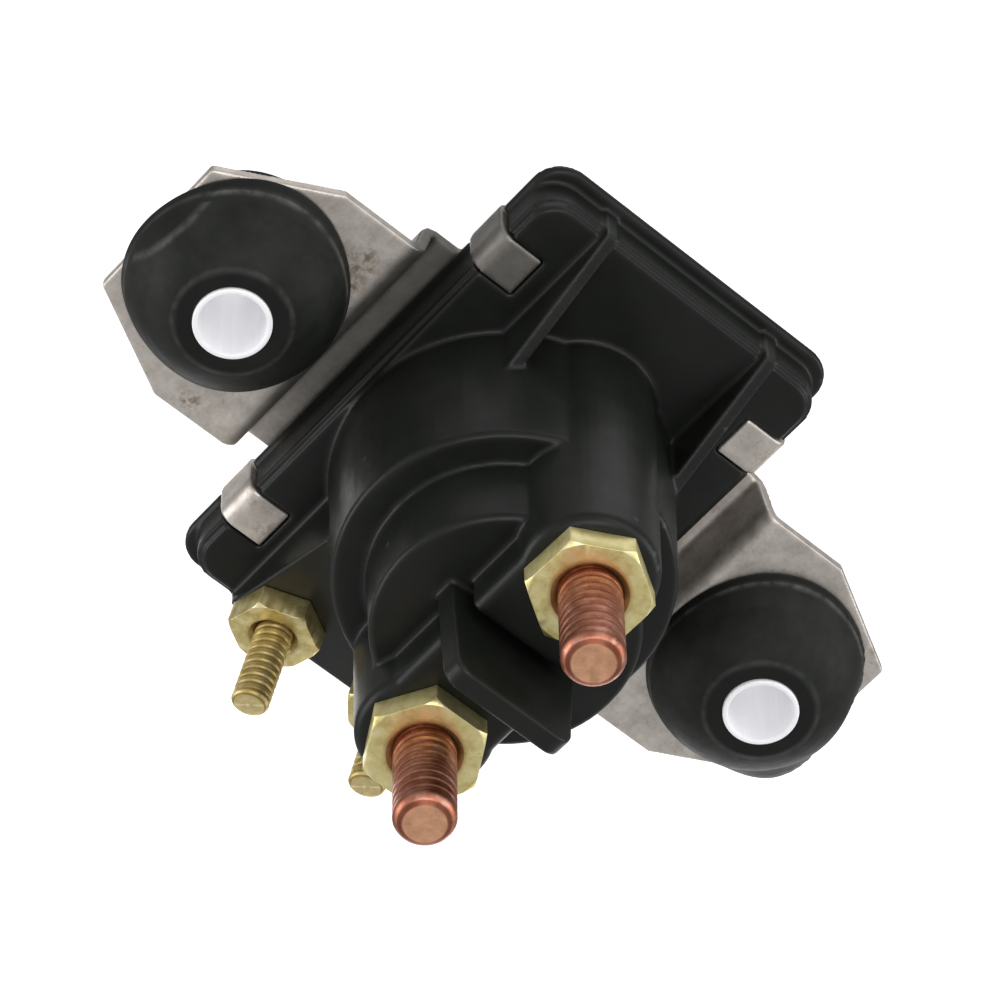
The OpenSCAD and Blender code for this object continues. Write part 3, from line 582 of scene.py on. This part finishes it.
STUD_COPPER = worn_metal_with_painted_light("stud_copper", dark=(0.36, 0.125, 0.075), body=(0.5, 0.2, 0.13),
                         bright=(0.76, 0.42, 0.31), grime_and_shade=(0.15, 0.04, 0.02), rough=0.4,
                         tint=(0.92, 0.5, 0.3))
NUT_BRASS = worn_metal_with_painted_light("nut_brass", dark=(0.6, 0.5, 0.2), body=(0.8, 0.7, 0.32),
                       bright=(0.93, 0.86, 0.52), grime_and_shade=(0.36, 0.2, 0.07), rough=0.38,
                       metallic=0.85)
COIL_BRASS = worn_metal_with_painted_light("coil_stud_brass", dark=(0.42, 0.31, 0.1), body=(0.6, 0.46, 0.18),
                        bright=(0.82, 0.7, 0.37), grime_and_shade=(0.27, 0.18, 0.055), rough=0.46,
                        metallic=0.85, tint=(0.7, 0.57, 0.28))
COIL_NUT_BRASS = worn_metal_with_painted_light("coil_nut_brass", dark=(0.46, 0.36, 0.13), body=(0.68, 0.57, 0.25),
                            bright=(0.9, 0.82, 0.52), grime_and_shade=(0.25, 0.155, 0.05), rough=0.36,
                            metallic=0.9)
CAP = cap_plastic()
RUBBER = rubber()
STEEL = bracket_steel()
SLEEVE = sleeve_steel()


# Cap and bracket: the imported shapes, with moulded and punched edges

CAP_VOXEL = 0.28
BRACKET_VOXEL = 0.26
EDGE_PASSES = 3


def softened_copy(node, name, voxel):
    """A piece with a copy of a node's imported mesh, its edges rounded."""
    piece = bpy.data.objects.new(name, frame["nodes"][node].data.copy())
    bpy.context.scene.collection.objects.link(piece)
    soften(piece, voxel, EDGE_PASSES)
    return piece


def make_cap():
    cap = softened_copy("housing_cap", "moulded_cap", CAP_VOXEL)
    dress(cap, CAP, "cap_plastic", "housing_cap")


def make_bracket():
    bracket = softened_copy("mounting_bracket", "pressed_bracket", BRACKET_VOXEL)
    dress(bracket, STEEL, "bracket_steel", "mounting_bracket")


# Studs with rolled threads

THREAD_COLUMNS = 72
ROWS_PER_PITCH = 18
STUD_SHARP_ANGLE = 50
# Depth of the worn thread as a share of crest to root, and its flat crest as a share of the pitch
THREAD_SHARE = 0.35
CREST_SHARE = 0.35
# The tip's outline as shares of its chamfer: how far in from the crest and how far under the end
TIP_SHARES = [(0.0, 1.0), (0.1, 0.75), (0.26, 0.5), (0.4, 0.36), (0.52, 0.3), (0.8, 0.08),
              (1.0, 0.0)]
# Rings on the end's face as shares of its radius
FACE_RING_SHARES = (0.75, 0.5, 0.25)
# Where the face and the chamfer's painted shade lie, as shares of the tip and of the face's radius
FACE_DEPTH_SHARE = 0.1
FACE_R_SHARE = 1.02
CHAMFER_SHARE = 0.45
# How dark the chamfer's painted shade is, and how dark the thread's root is
CHAMFER_SHADE = 0.9
ROOT_MARK = 0.5


def groove_depth(phase):
    """Depth of the thread at a share of its pitch: a flat worn crest, then a rounded groove."""
    half = (1 - CREST_SHARE) / 2
    distance = abs(phase - (CREST_SHARE + half)) / half
    if distance >= 1:
        return 0.0
    t = 1 - distance
    return t * t * (3 - 2 * t)


def turned_stud(name, place, below, crest_r, root_r, pitch, nut_t, out, tip):
    """A stud on its seat: below are the (radius, height) points under the seat, and the thread
    starts in the nut's countersink and fades out at the tip, rounded with use, out millimetres up."""
    groove = (crest_r - root_r) * THREAD_SHARE
    face_r = crest_r - tip
    thread_start = nut_t - nut_t * NUT_SINK_SHARE
    thread_end = out - tip
    rows = [(r, z, 0.0) for r, z in below]
    rows += [(crest_r, 0.0, 0.0), (root_r, 0.0, 0.0), (root_r, thread_start, 0.0)]
    count = math.ceil((thread_end - thread_start) / pitch * ROWS_PER_PITCH)
    for i in range(1, count + 1):
        z = thread_start + (thread_end - thread_start) * i / count
        widened = root_r + (z - thread_start)
        rows.append((min(crest_r, widened), z, clamped((thread_end - z) / pitch)))
    rows += [(crest_r - tip * inward, out - tip * under, 0.0) for inward, under in TIP_SHARES[1:]]
    rows += [(face_r * share, out, 0.0) for share in FACE_RING_SHARES]
    groove_marks = []
    face_marks = []

    def radius_of(row, angle):
        r, z, weight = row
        cut = weight * groove_depth((z / pitch - angle / (2 * math.pi)) % 1)
        on_face = z > out - FACE_DEPTH_SHARE * tip and r < face_r * FACE_R_SHARE
        on_chamfer = z > thread_end and r < crest_r - CHAMFER_SHARE * tip and not on_face
        # Painted shade on the chamfer next to the face
        groove_marks.append(CHAMFER_SHADE if on_chamfer else ROOT_MARK * cut)
        face_marks.append(1.0 if on_face else 0.0)
        return r - groove * cut, z

    points = turned_grid(rows, THREAD_COLUMNS, radius_of)
    faces = grid_faces(len(rows), THREAD_COLUMNS, closed=False)
    faces.append(tuple(range(THREAD_COLUMNS - 1, -1, -1)))
    faces.append(tuple(range(len(points) - THREAD_COLUMNS, len(points))))
    stud = link_mesh(name, placed(points, place), faces)
    mark_points(stud, "groove", groove_marks)
    mark_points(stud, "face", face_marks)
    tidy_mesh(stud, merge=0.001)
    shade_by_angle(stud, STUD_SHARP_ANGLE)
    return stud


# Nuts

NUT_COLUMNS = 72
NUT_BEVEL_ANGLE = 30
NUT_SHARP_ANGLE = 40
# The turned face as a share of the corners' radius, and the eased corners and the countersink as
# shares of the thickness
NUT_FACE_SHARE = 0.91
NUT_EASE_SHARE = 0.17
NUT_SINK_SHARE = 0.36
# In millimetres: the chamfer underneath, the least step to the face, the stain round the hole and
# the bore's gap to the thread's root
NUT_EDGE = 0.1
NUT_STEP = 0.01
NUT_STAIN = 0.6
BORE_GAP = 0.05
# How far each nut is turned, in degrees
NUT_TURNS = {"battery_stud_nut": 28.4, "starter_stud_nut": 0.0,
             "coil_stud_nut_left": 26.0, "coil_stud_nut_right": 9.0}


def hex_radius(angle, flats):
    """Distance from the middle of a hexagon to its side, with a corner on the X axis."""
    sixth = math.pi / 3
    return flats / 2 / math.cos((angle % sixth) - sixth / 2)


def hex_nut(name, place, flats, thick, bore_r, lip):
    """A hexagonal nut with turned corners, a countersunk bore and edges rounded by a lip."""
    corner_r = flats / math.sqrt(3)
    face_r = corner_r * NUT_FACE_SHARE
    slope = thick * NUT_EASE_SHARE / (corner_r + BORE_GAP - face_r)
    sink = thick * NUT_SINK_SHARE
    hole_r = bore_r + sink
    stain_r = hole_r + NUT_STAIN

    def radius_of(row, angle):
        side_r = hex_radius(angle, flats)
        eased = thick - max(0.0, side_r - face_r) * slope - NUT_STEP
        return {
            "bore_low": (bore_r, 0.0),
            "under": (side_r - NUT_EDGE, 0.0),
            "side_low": (side_r, NUT_EDGE),
            "side_high": (side_r, eased),
            "face_out": (min(side_r, face_r) - NUT_STEP, thick),
            "face_mid": (stain_r, thick),
            "face_in": (hole_r, thick),
            "bore_high": (bore_r, thick - sink),
        }[row]

    rows = ["bore_low", "under", "side_low", "side_high", "face_out", "face_mid", "face_in",
            "bore_high"]
    points = turned_grid(rows, NUT_COLUMNS, radius_of)
    nut = link_mesh(name, placed(points, place), grid_faces(len(rows), NUT_COLUMNS, closed=True))
    tidy_mesh(nut, merge=0.02)
    bevel_edges(nut, lip, NUT_BEVEL_ANGLE)
    back = place.inverted()
    in_place = [back @ vertex.co / MM for vertex in nut.data.vertices]
    mark_points(nut, "groove", [clamped(stain_r - math.hypot(p.x, p.y)) for p in in_place])
    shade_by_angle(nut, NUT_SHARP_ANGLE)
    return nut


def seat_of(row, nut_t):
    """The place on the cap where a stud's nut sits, and the stud's direction, from its mount."""
    position = Vector(row["pos_m"])
    axis = Vector(row["axis"]).normalized()
    reach = (nut_t + row["dims"]["length_mm"] / 2) * MM
    return position - axis * reach, axis


def turned_place(place, node):
    """A stud's place, turned as its nut is."""
    return place @ Matrix.Rotation(math.radians(NUT_TURNS[node]), 4, "Z")


def make_large_terminal(which):
    """One large stud and its nut."""
    stud_node = f"{which}_stud"
    nut_node = f"{which}_stud_nut"
    row = mount(f"{which}_terminal")
    crest_r = row["dims"]["r_mm"]
    nut_low, nut_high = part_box(nut_node)
    nut_t = (nut_high.z - nut_low.z) / MM
    seat, axis = seat_of(row, nut_t)
    place = upright_at(seat, axis)
    stud_low, stud_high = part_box(stud_node)
    head_low = (stud_low.z - seat.z) / MM
    head_high = head_low + STUD_HEAD_T
    out = (stud_high.z - seat.z) / MM
    below = [(STUD_HEAD_R / 2, head_low), (STUD_HEAD_R, head_low), (STUD_HEAD_R, head_high),
             (crest_r, head_high)]
    stud = turned_stud(f"{which}_threaded_stud", place, below, crest_r, STUD_ROOT_R, STUD_PITCH,
                       nut_t, out, STUD_TIP)
    dress(stud, STUD_COPPER, "stud_copper", stud_node)
    nut = hex_nut(f"{which}_hex_nut", turned_place(place, nut_node), STUD_NUT_AF, nut_t,
                  STUD_ROOT_R + BORE_GAP, STUD_NUT_LIP)
    dress(nut, NUT_BRASS, "nut_brass", nut_node)


def make_coil_terminal(side):
    """One small stud and its nut, square to the ramp."""
    nut_node = f"coil_stud_nut_{side}"
    row = mount(f"coil_terminal_{side}")
    crest_r = row["dims"]["r_mm"]
    seat, axis = seat_of(row, COIL_NUT_T)
    place = upright_at(seat, axis)
    head_high = -COIL_HEAD_DEPTH
    head_low = head_high - COIL_HEAD_T
    out = COIL_NUT_T + row["dims"]["length_mm"] + COIL_STUD_TIP
    below = [(COIL_TAIL_R, head_low - COIL_TAIL_LEN), (COIL_TAIL_R, head_low),
             (COIL_HEAD_R, head_low), (COIL_HEAD_R, head_high), (crest_r, head_high)]
    stud = turned_stud(f"coil_threaded_stud_{side}", place, below, crest_r, COIL_STUD_ROOT_R,
                       COIL_STUD_PITCH, COIL_NUT_T, out, COIL_STUD_TIP)
    dress(stud, COIL_BRASS, "coil_stud_brass", f"coil_stud_{side}")
    nut = hex_nut(f"coil_hex_nut_{side}", turned_place(place, nut_node), COIL_NUT_AF, COIL_NUT_T,
                  COIL_STUD_ROOT_R + BORE_GAP, COIL_NUT_LIP)
    dress(nut, COIL_NUT_BRASS, "nut_brass", nut_node)


# Rubber grommets and metal sleeves

GROMMET_COLUMNS = 240
SLEEVE_COLUMNS = 96
PROFILE_STEP = 0.25
FOOT_STEPS = 4
DOME_STEPS = 16
RING_STEPS = 5
LIP_STEPS = 4
GROMMET_SEEDS = {"left": 6, "right": 8}

# The rubber is out of round most at the rim, and less inward as far as the neck
GROWTH_REACH = DISC_R - GROMMET_NECK_R - 1
# How it is out of round: the direction of a swelling in degrees, how narrow it is, its
# size, and the heights over the sheet's middle between which it fades out
SWELLINGS = {
    "left": [(105, 4, 1.3, 1.0, 3.2), (-110, 6, -0.5, 6.0, 8.0)],
    "right": [(112, 4, 1.2, 1.8, 4.5), (-155, 6, 0.2, 3.0, 5.0), (15, 8, -0.8, 3.0, 6.0),
              (-40, 12, 2.1, 1.6, 4.0)],
}
LOW_SWELLINGS = {"left": [(118, 3, 1.15, 6.0, 8.0), (165, 14, -1.5, 6.0, 8.0)], "right": []}
# A long sway all round, in millimetres, and where short waves make the rim ragged
SWAY = 0.05
RAGGED = {"left": [], "right": [(15, 4, 0.07, 2.4, 3.6)]}
RAGGED_WAVES = (23, 37, 58, 71)
# Pale marks from rubbing with a painted highlight: a corner of the section, how far the mark
# reaches and how pale
RUBS_AND_HIGHLIGHTS = [((DISC_R - DISC_SIDE_IN, SHEET_T / 2 + DISC_SIDE_H), 0.55, 1.0),
        ((GROMMET_RING_R - 0.3, GROMMET_FACE - 0.35), 0.5, 0.55),
        ((DISC_R, SHEET_T / 2 + DISC_FOOT_ROUND), 0.3, 0.4)]
# Where the rubber is shaded: how far the disc's side lies in and under its shoulder, and how far
# inside the ring the sleeve's surround starts
SHADED_SIDE_IN = 1.0
SHADED_SIDE_UNDER = 0.2
SHADED_RING_IN = 0.8
# The fold over the ear's end on the left: its direction, how far out its crease lies, how much
# lower the rubber is for each millimetre beyond, and how soft the crease is
FOLD_ANGLE = 170.7
FOLD_REACH = 11.0
FOLD_DROP = 0.26
FOLD_SOFT = 0.12
NOT_FOLDED = -1.0
# The crease's pale line is a painted highlight: how pale, half its width, and how far inside the
# rim it stops.
# Beyond the crease the rubbing marks and highlights are weaker and the rubber has painted shade.
CREASE_HIGHLIGHT = 0.8
CREASE_HALF_WIDTH = 0.4
CREASE_RIM = 0.6
BEYOND_RUB_AND_HIGHLIGHT_SHARE = 0.5
BEYOND_SHADE = 0.5


def meeting_point(start, start_r, end, end_r):
    """The point at these distances from two others, on the left of the way between them."""
    gap = math.dist(start, end)
    way = ((end[0] - start[0]) / gap, (end[1] - start[1]) / gap)
    along = (gap ** 2 + start_r ** 2 - end_r ** 2) / (2 * gap)
    across = math.sqrt(start_r ** 2 - along ** 2)
    return (start[0] + way[0] * along - way[1] * across,
            start[1] + way[1] * along + way[0] * across)


def half_profile(disc_r, foot_round):
    """Section of a grommet on one face of the sheet: neck, disc, dome and ring, up to the bore."""
    foot = (disc_r - foot_round, SHEET_T / 2 + foot_round)
    shoulder = (disc_r - DISC_SIDE_IN, SHEET_T / 2 + DISC_SIDE_H)
    ring = (GROMMET_RING_R - GROMMET_RING_ROUND, GROMMET_FACE - GROMMET_RING_ROUND)
    dome = meeting_point(shoulder, DOME_R, ring, DOME_R - GROMMET_RING_ROUND)
    shoulder_angle = math.degrees(math.atan2(shoulder[1] - dome[1], shoulder[0] - dome[0]))
    ring_angle = math.degrees(math.atan2(ring[1] - dome[1], ring[0] - dome[0]))
    half = [(GROMMET_NECK_R, SHEET_T / 2)]
    half += arc(foot, foot_round, -90, 0, FOOT_STEPS)
    half += arc(dome, DOME_R, shoulder_angle, ring_angle, DOME_STEPS)
    half += arc(ring, GROMMET_RING_ROUND, ring_angle, 90, RING_STEPS)[1:]
    half += [(GROMMET_BORE_R + GROMMET_BORE_EASE, GROMMET_FACE),
             (GROMMET_BORE_R, GROMMET_FACE - GROMMET_BORE_EASE)]
    return refine(half, PROFILE_STEP)


def grommet_profile():
    """Closed section of a grommet round its bore, from the bore's lower end outward and up."""
    upper = half_profile(DISC_R, DISC_FOOT_ROUND)
    under = half_profile(DISC_R - LOW_DISC_IN, LOW_FOOT_ROUND)
    return [(r, -z) for r, z in reversed(under)] + upper


def swelling(rows, angle, height):
    """Radial change in millimetres that these swellings give in one direction."""
    total = 0.0
    for direction, narrow, amount, fade_from, fade_to in rows:
        facing = max(0.0, math.cos(angle - math.radians(direction)))
        fade = clamped((fade_to - height) / (fade_to - fade_from))
        total += amount * facing ** narrow * fade
    return total


def growth(side, phases, angle, z):
    """How far the rim of a grommet stands out in one direction, at a height over the sheet."""
    sway = sum(math.sin((k + 2) * angle + phases[k]) for k in range(4)) / 4
    grown = -SWAY * (1 + sway)
    if z > SHEET_T / 4:
        waves = sum(math.sin(wave * angle + phase) for wave, phase in zip(RAGGED_WAVES, phases[4:]))
        grown += swelling(SWELLINGS[side], angle, z)
        grown += swelling(RAGGED[side], angle, z) * waves
    elif z < -SHEET_T / 4:
        grown += swelling(LOW_SWELLINGS[side], angle, -z)
    return grown


def beyond_fold(x, y):
    """How far a point lies beyond the crease over the ear's end."""
    direction = math.radians(FOLD_ANGLE)
    return x * math.cos(direction) + y * math.sin(direction) - FOLD_REACH


def folded(z, beyond):
    """The height of a point of the upper disc, lower the further it lies beyond the crease."""
    if beyond < -FOLD_SOFT:
        return z
    eased = beyond if beyond > FOLD_SOFT else (beyond + FOLD_SOFT) ** 2 / (4 * FOLD_SOFT)
    return SHEET_T / 2 + (z - SHEET_T / 2) / (1 + FOLD_DROP * eased)


def rub_and_highlight_of(r, z):
    """How pale the rubber is at a point of its section, from rubbing and a painted highlight."""
    return max(amount * max(0.0, 1 - math.dist((r, abs(z)), corner) / reach)
               for corner, reach, amount in RUBS_AND_HIGHLIGHTS)


def shade_of(r, z):
    """How dark the rubber is at a point of its section: the disc's side and round the sleeve."""
    side_high = SHEET_T / 2 + DISC_SIDE_H - SHADED_SIDE_UNDER
    on_side = SHEET_T / 2 < z < side_high and r > DISC_R - SHADED_SIDE_IN
    by_sleeve = z > 0 and r < GROMMET_RING_R - SHADED_RING_IN
    return 1.0 if on_side or by_sleeve else 0.0


def marks_of(r, z, beyond):
    """How pale and how dark the rubber is at a point of its section, so far beyond the crease: pale
    from rubbing and painted highlights, dark from painted shade.
    """
    crease = 0.0
    # The crease's line is a painted highlight
    if r < DISC_R - CREASE_RIM:
        crease = CREASE_HIGHLIGHT * max(0.0, 1 - abs(beyond) / CREASE_HALF_WIDTH)
    rub_and_highlight = rub_and_highlight_of(r, z) * (BEYOND_RUB_AND_HIGHLIGHT_SHARE if beyond > 0 else 1.0)
    shade = BEYOND_SHADE if beyond > CREASE_HALF_WIDTH else shade_of(r, z)
    return max(crease, rub_and_highlight), shade


def make_grommet(side):
    low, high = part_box(f"grommet_{side}")
    rng = np.random.default_rng(GROMMET_SEEDS[side])
    phases = rng.uniform(0, 2 * math.pi, 8)
    profile = grommet_profile()
    points = []
    marks = []
    for section_r, z in profile:
        outer = clamped((section_r - GROMMET_NECK_R) / GROWTH_REACH)
        has_fold = side == "left" and z > SHEET_T / 2
        for column in range(GROMMET_COLUMNS):
            angle = 2 * math.pi * column / GROMMET_COLUMNS
            r = section_r + outer * growth(side, phases, angle, z)
            x, y = r * math.cos(angle), r * math.sin(angle)
            beyond = beyond_fold(x, y) if has_fold else NOT_FOLDED
            points.append((x, y, folded(z, beyond)))
            marks.append(marks_of(section_r, z, beyond))
    grommet = link_mesh(f"rubber_grommet_{side}",
                        placed(points, Matrix.Translation((low + high) / 2)),
                        grid_faces(len(profile), GROMMET_COLUMNS, closed=True))
    mark_points(grommet, "wear", [rub_and_highlight for rub_and_highlight, shade in marks])
    mark_points(grommet, "shade", [shade for rub_and_highlight, shade in marks])
    tidy_mesh(grommet, merge=0.002)
    dress(grommet, RUBBER, "rubber", f"grommet_{side}")


def make_sleeve(side):
    low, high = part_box(f"sleeve_{side}")
    centre = Vector(((low.x + high.x) / 2, (low.y + high.y) / 2, low.z))
    in_r = SLEEVE_IN_R + SLEEVE_LIP
    out_r = SLEEVE_OUT_R - SLEEVE_LIP
    top = (high.z - low.z) / MM - SLEEVE_LIP
    profile = arc((in_r, SLEEVE_LIP), SLEEVE_LIP, 180, 270, LIP_STEPS)
    profile += arc((out_r, SLEEVE_LIP), SLEEVE_LIP, 270, 360, LIP_STEPS)
    profile += arc((out_r, top), SLEEVE_LIP, 0, 90, LIP_STEPS)
    profile += arc((in_r, top), SLEEVE_LIP, 90, 180, LIP_STEPS)
    points = turned_grid(profile, SLEEVE_COLUMNS, lambda row, angle: row)
    sleeve = link_mesh(f"drawn_sleeve_{side}", placed(points, Matrix.Translation(centre)),
                       grid_faces(len(profile), SLEEVE_COLUMNS, closed=True))
    tidy_mesh(sleeve, merge=0.002)
    dress(sleeve, SLEEVE, "sleeve_steel", f"sleeve_{side}")


# Finishes of the pieces inside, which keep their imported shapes

INNER_FINISHES = {
    "soft_iron": plain_finish("soft_iron", (0.34, 0.34, 0.36), 0.4, metallic=0.9, size=2.0),
    "bobbin_nylon": plain_finish("bobbin_nylon", (0.7, 0.66, 0.55), 0.5),
    "copper_wire": plain_finish("copper_wire", (0.5, 0.16, 0.05), 0.32, metallic=0.9, size=0.5,
                                stretch=(1, 1, 8)),
    "contact_copper": plain_finish("contact_copper", (0.62, 0.27, 0.17), 0.3, metallic=1.0),
    "rod_brass": plain_finish("rod_brass", (0.6, 0.44, 0.17), 0.28, metallic=1.0, size=0.8,
                              stretch=(1, 1, 6)),
    "insulator": plain_finish("insulator", (0.76, 0.73, 0.63), 0.5),
    "washer_fibre": plain_finish("washer_fibre", (0.27, 0.15, 0.05), 0.7, size=0.6),
    "spring_steel": plain_finish("spring_steel", (0.5, 0.52, 0.56), 0.3, metallic=1.0, size=0.6),
    "rubber": RUBBER,
}
INNER_NODES = {
    "soft_iron": ["coil_base_plate", "coil_can", "pole_core", "plunger"],
    "bobbin_nylon": ["coil_bobbin"],
    "copper_wire": ["coil_winding", "coil_lead_left", "coil_lead_right"],
    "contact_copper": ["contact_disc"],
    "rod_brass": ["plunger_rod"],
    "insulator": ["disc_bush"],
    "washer_fibre": ["disc_washer"],
    "spring_steel": ["return_spring", "contact_spring", "rod_clip"],
    "rubber": ["cap_gasket", "plunger_buffer", "battery_stud_seal", "starter_stud_seal"],
}


def finish_inner_nodes():
    for finish, names in INNER_NODES.items():
        for name in names:
            node = frame["nodes"][name]
            node.data.materials.clear()
            node.data.materials.append(INNER_FINISHES[finish])


# Stage: a pale floor, soft light and the photograph's camera

FLOOR_REACH = 3.0
FLOOR_TONES = [(0.2, 0.86), (0.8, 0.9)]
FLOOR_ROUGH = 0.9
FLOOR_GLOW = 0.8
# Brightness of the surroundings from straight down, 0, to straight up, 1
SKY = [(0.0, 0.28), (0.42, 0.28), (0.5, 0.7), (0.72, 0.56), (0.93, 0.5), (1.0, 0.42)]
# White cards in the surroundings: direction, inner and outer angle in degrees, and brightness
CARDS = [((-0.13, 0.51, -0.85), 5, 32, 0.95), ((0.0, -0.52, -0.85), 5, 14, 3.6),
         ((0.58, -0.65, -0.45), 14, 34, 2.2), ((0.0, 0.93, 0.36), 12, 30, 1.7)]
# Soft lights: name, place and target in metres, width in metres and power in watts
LIGHTS = [("key", (-0.25, 0.35, 0.75), (0, 0, 0.02), 0.5, 2.2),
          ("left", (-0.6, -0.45, 0.2), (0, 0, 0.03), 0.45, 2.0),
          ("right", (0.6, 0.5, 0.2), (0, 0, 0.03), 0.45, 1.6)]
# The camera: lens and sensor width, then its place, all in millimetres, and its directions
LENS = 180
SENSOR_WIDTH = 36
CAMERA_PLACE = (-203.266, 223.297, 502.395)
CAMERA_FORWARD = (0.35350, -0.38910, -0.85067)
CAMERA_RIGHT = (0.75311, 0.65779, 0.01208)


def make_floor():
    """A pale floor that reflections don't see."""
    reach = FLOOR_REACH
    corners = [(-reach, -reach, 0), (reach, -reach, 0), (reach, reach, 0), (-reach, reach, 0)]
    floor = link_mesh("floor", corners, [(0, 1, 2, 3)])
    material, tree, shader = new_material("floor", specular=0.0)
    feed(tree, shader.inputs["Base Color"], ramp(tree, noise(tree, 60.0, detail=2), FLOOR_TONES))
    shader.inputs["Roughness"].default_value = FLOOR_ROUGH
    glow(shader, FLOOR_GLOW)
    floor.data.materials.append(material)
    floor.visible_glossy = False


def make_light(name, place, target, size, power):
    """A square soft light at a place, turned to its target."""
    data = bpy.data.lights.new(name, "AREA")
    data.size = size
    data.energy = power
    lamp = bpy.data.objects.new(name, data)
    lamp.location = place
    direction = Vector(target) - Vector(place)
    lamp.rotation_euler = direction.to_track_quat("-Z", "Y").to_euler()
    bpy.context.scene.collection.objects.link(lamp)


def card_factor(tree, vector, direction, inner, outer):
    """1 within the inner angle of a direction, falling to 0 at the outer one."""
    dot = add_node(tree, "ShaderNodeVectorMath", {0: vector}, operation="DOT_PRODUCT")
    dot.inputs[1].default_value = Vector(direction).normalized()
    return rising(tree, dot.outputs["Value"], math.cos(math.radians(outer)),
                  math.cos(math.radians(inner)))


def make_world():
    """Soft white surroundings, darker below, with the white cards in them."""
    world = bpy.data.worlds.new("surroundings")
    bpy.context.scene.world = world
    world.use_nodes = True
    tree = world.node_tree
    vector = add_node(tree, "ShaderNodeTexCoord").outputs["Generated"]
    split = add_node(tree, "ShaderNodeSeparateXYZ", {"Vector": vector})
    light = ramp(tree, share_between(tree, split.outputs["Z"], -1, 1), SKY)
    for direction, inner, outer, brightness in CARDS:
        factor = card_factor(tree, vector, direction, inner, outer)
        light = blend_colours(tree, factor, light, (brightness, brightness, brightness))
    feed(tree, tree.nodes["Background"].inputs["Color"], light)


def make_camera():
    """The photograph's camera: a long lens, turned until the relay stands as it does there."""
    forward = Vector(CAMERA_FORWARD).normalized()
    right = Vector(CAMERA_RIGHT)
    right = (right - forward * right.dot(forward)).normalized()
    up = right.cross(forward)
    data = bpy.data.cameras.new("camera")
    data.lens = LENS
    data.sensor_width = SENSOR_WIDTH
    camera = bpy.data.objects.new("camera", data)
    turn = Matrix((right, up, -forward)).transposed().to_4x4()
    camera.matrix_world = Matrix.Translation(Vector(CAMERA_PLACE) * MM) @ turn
    bpy.context.scene.collection.objects.link(camera)
    bpy.context.scene.camera = camera


make_camera()
make_cap()
make_bracket()
for which in ("battery", "starter"):
    make_large_terminal(which)
for side in SIDES:
    make_coil_terminal(side)
for side in SIDES:
    make_grommet(side)
for side in SIDES:
    make_sleeve(side)
finish_inner_nodes()
make_floor()
make_world()
for row in LIGHTS:
    make_light(*row)
bpy.context.scene.view_settings.view_transform = "Standard"
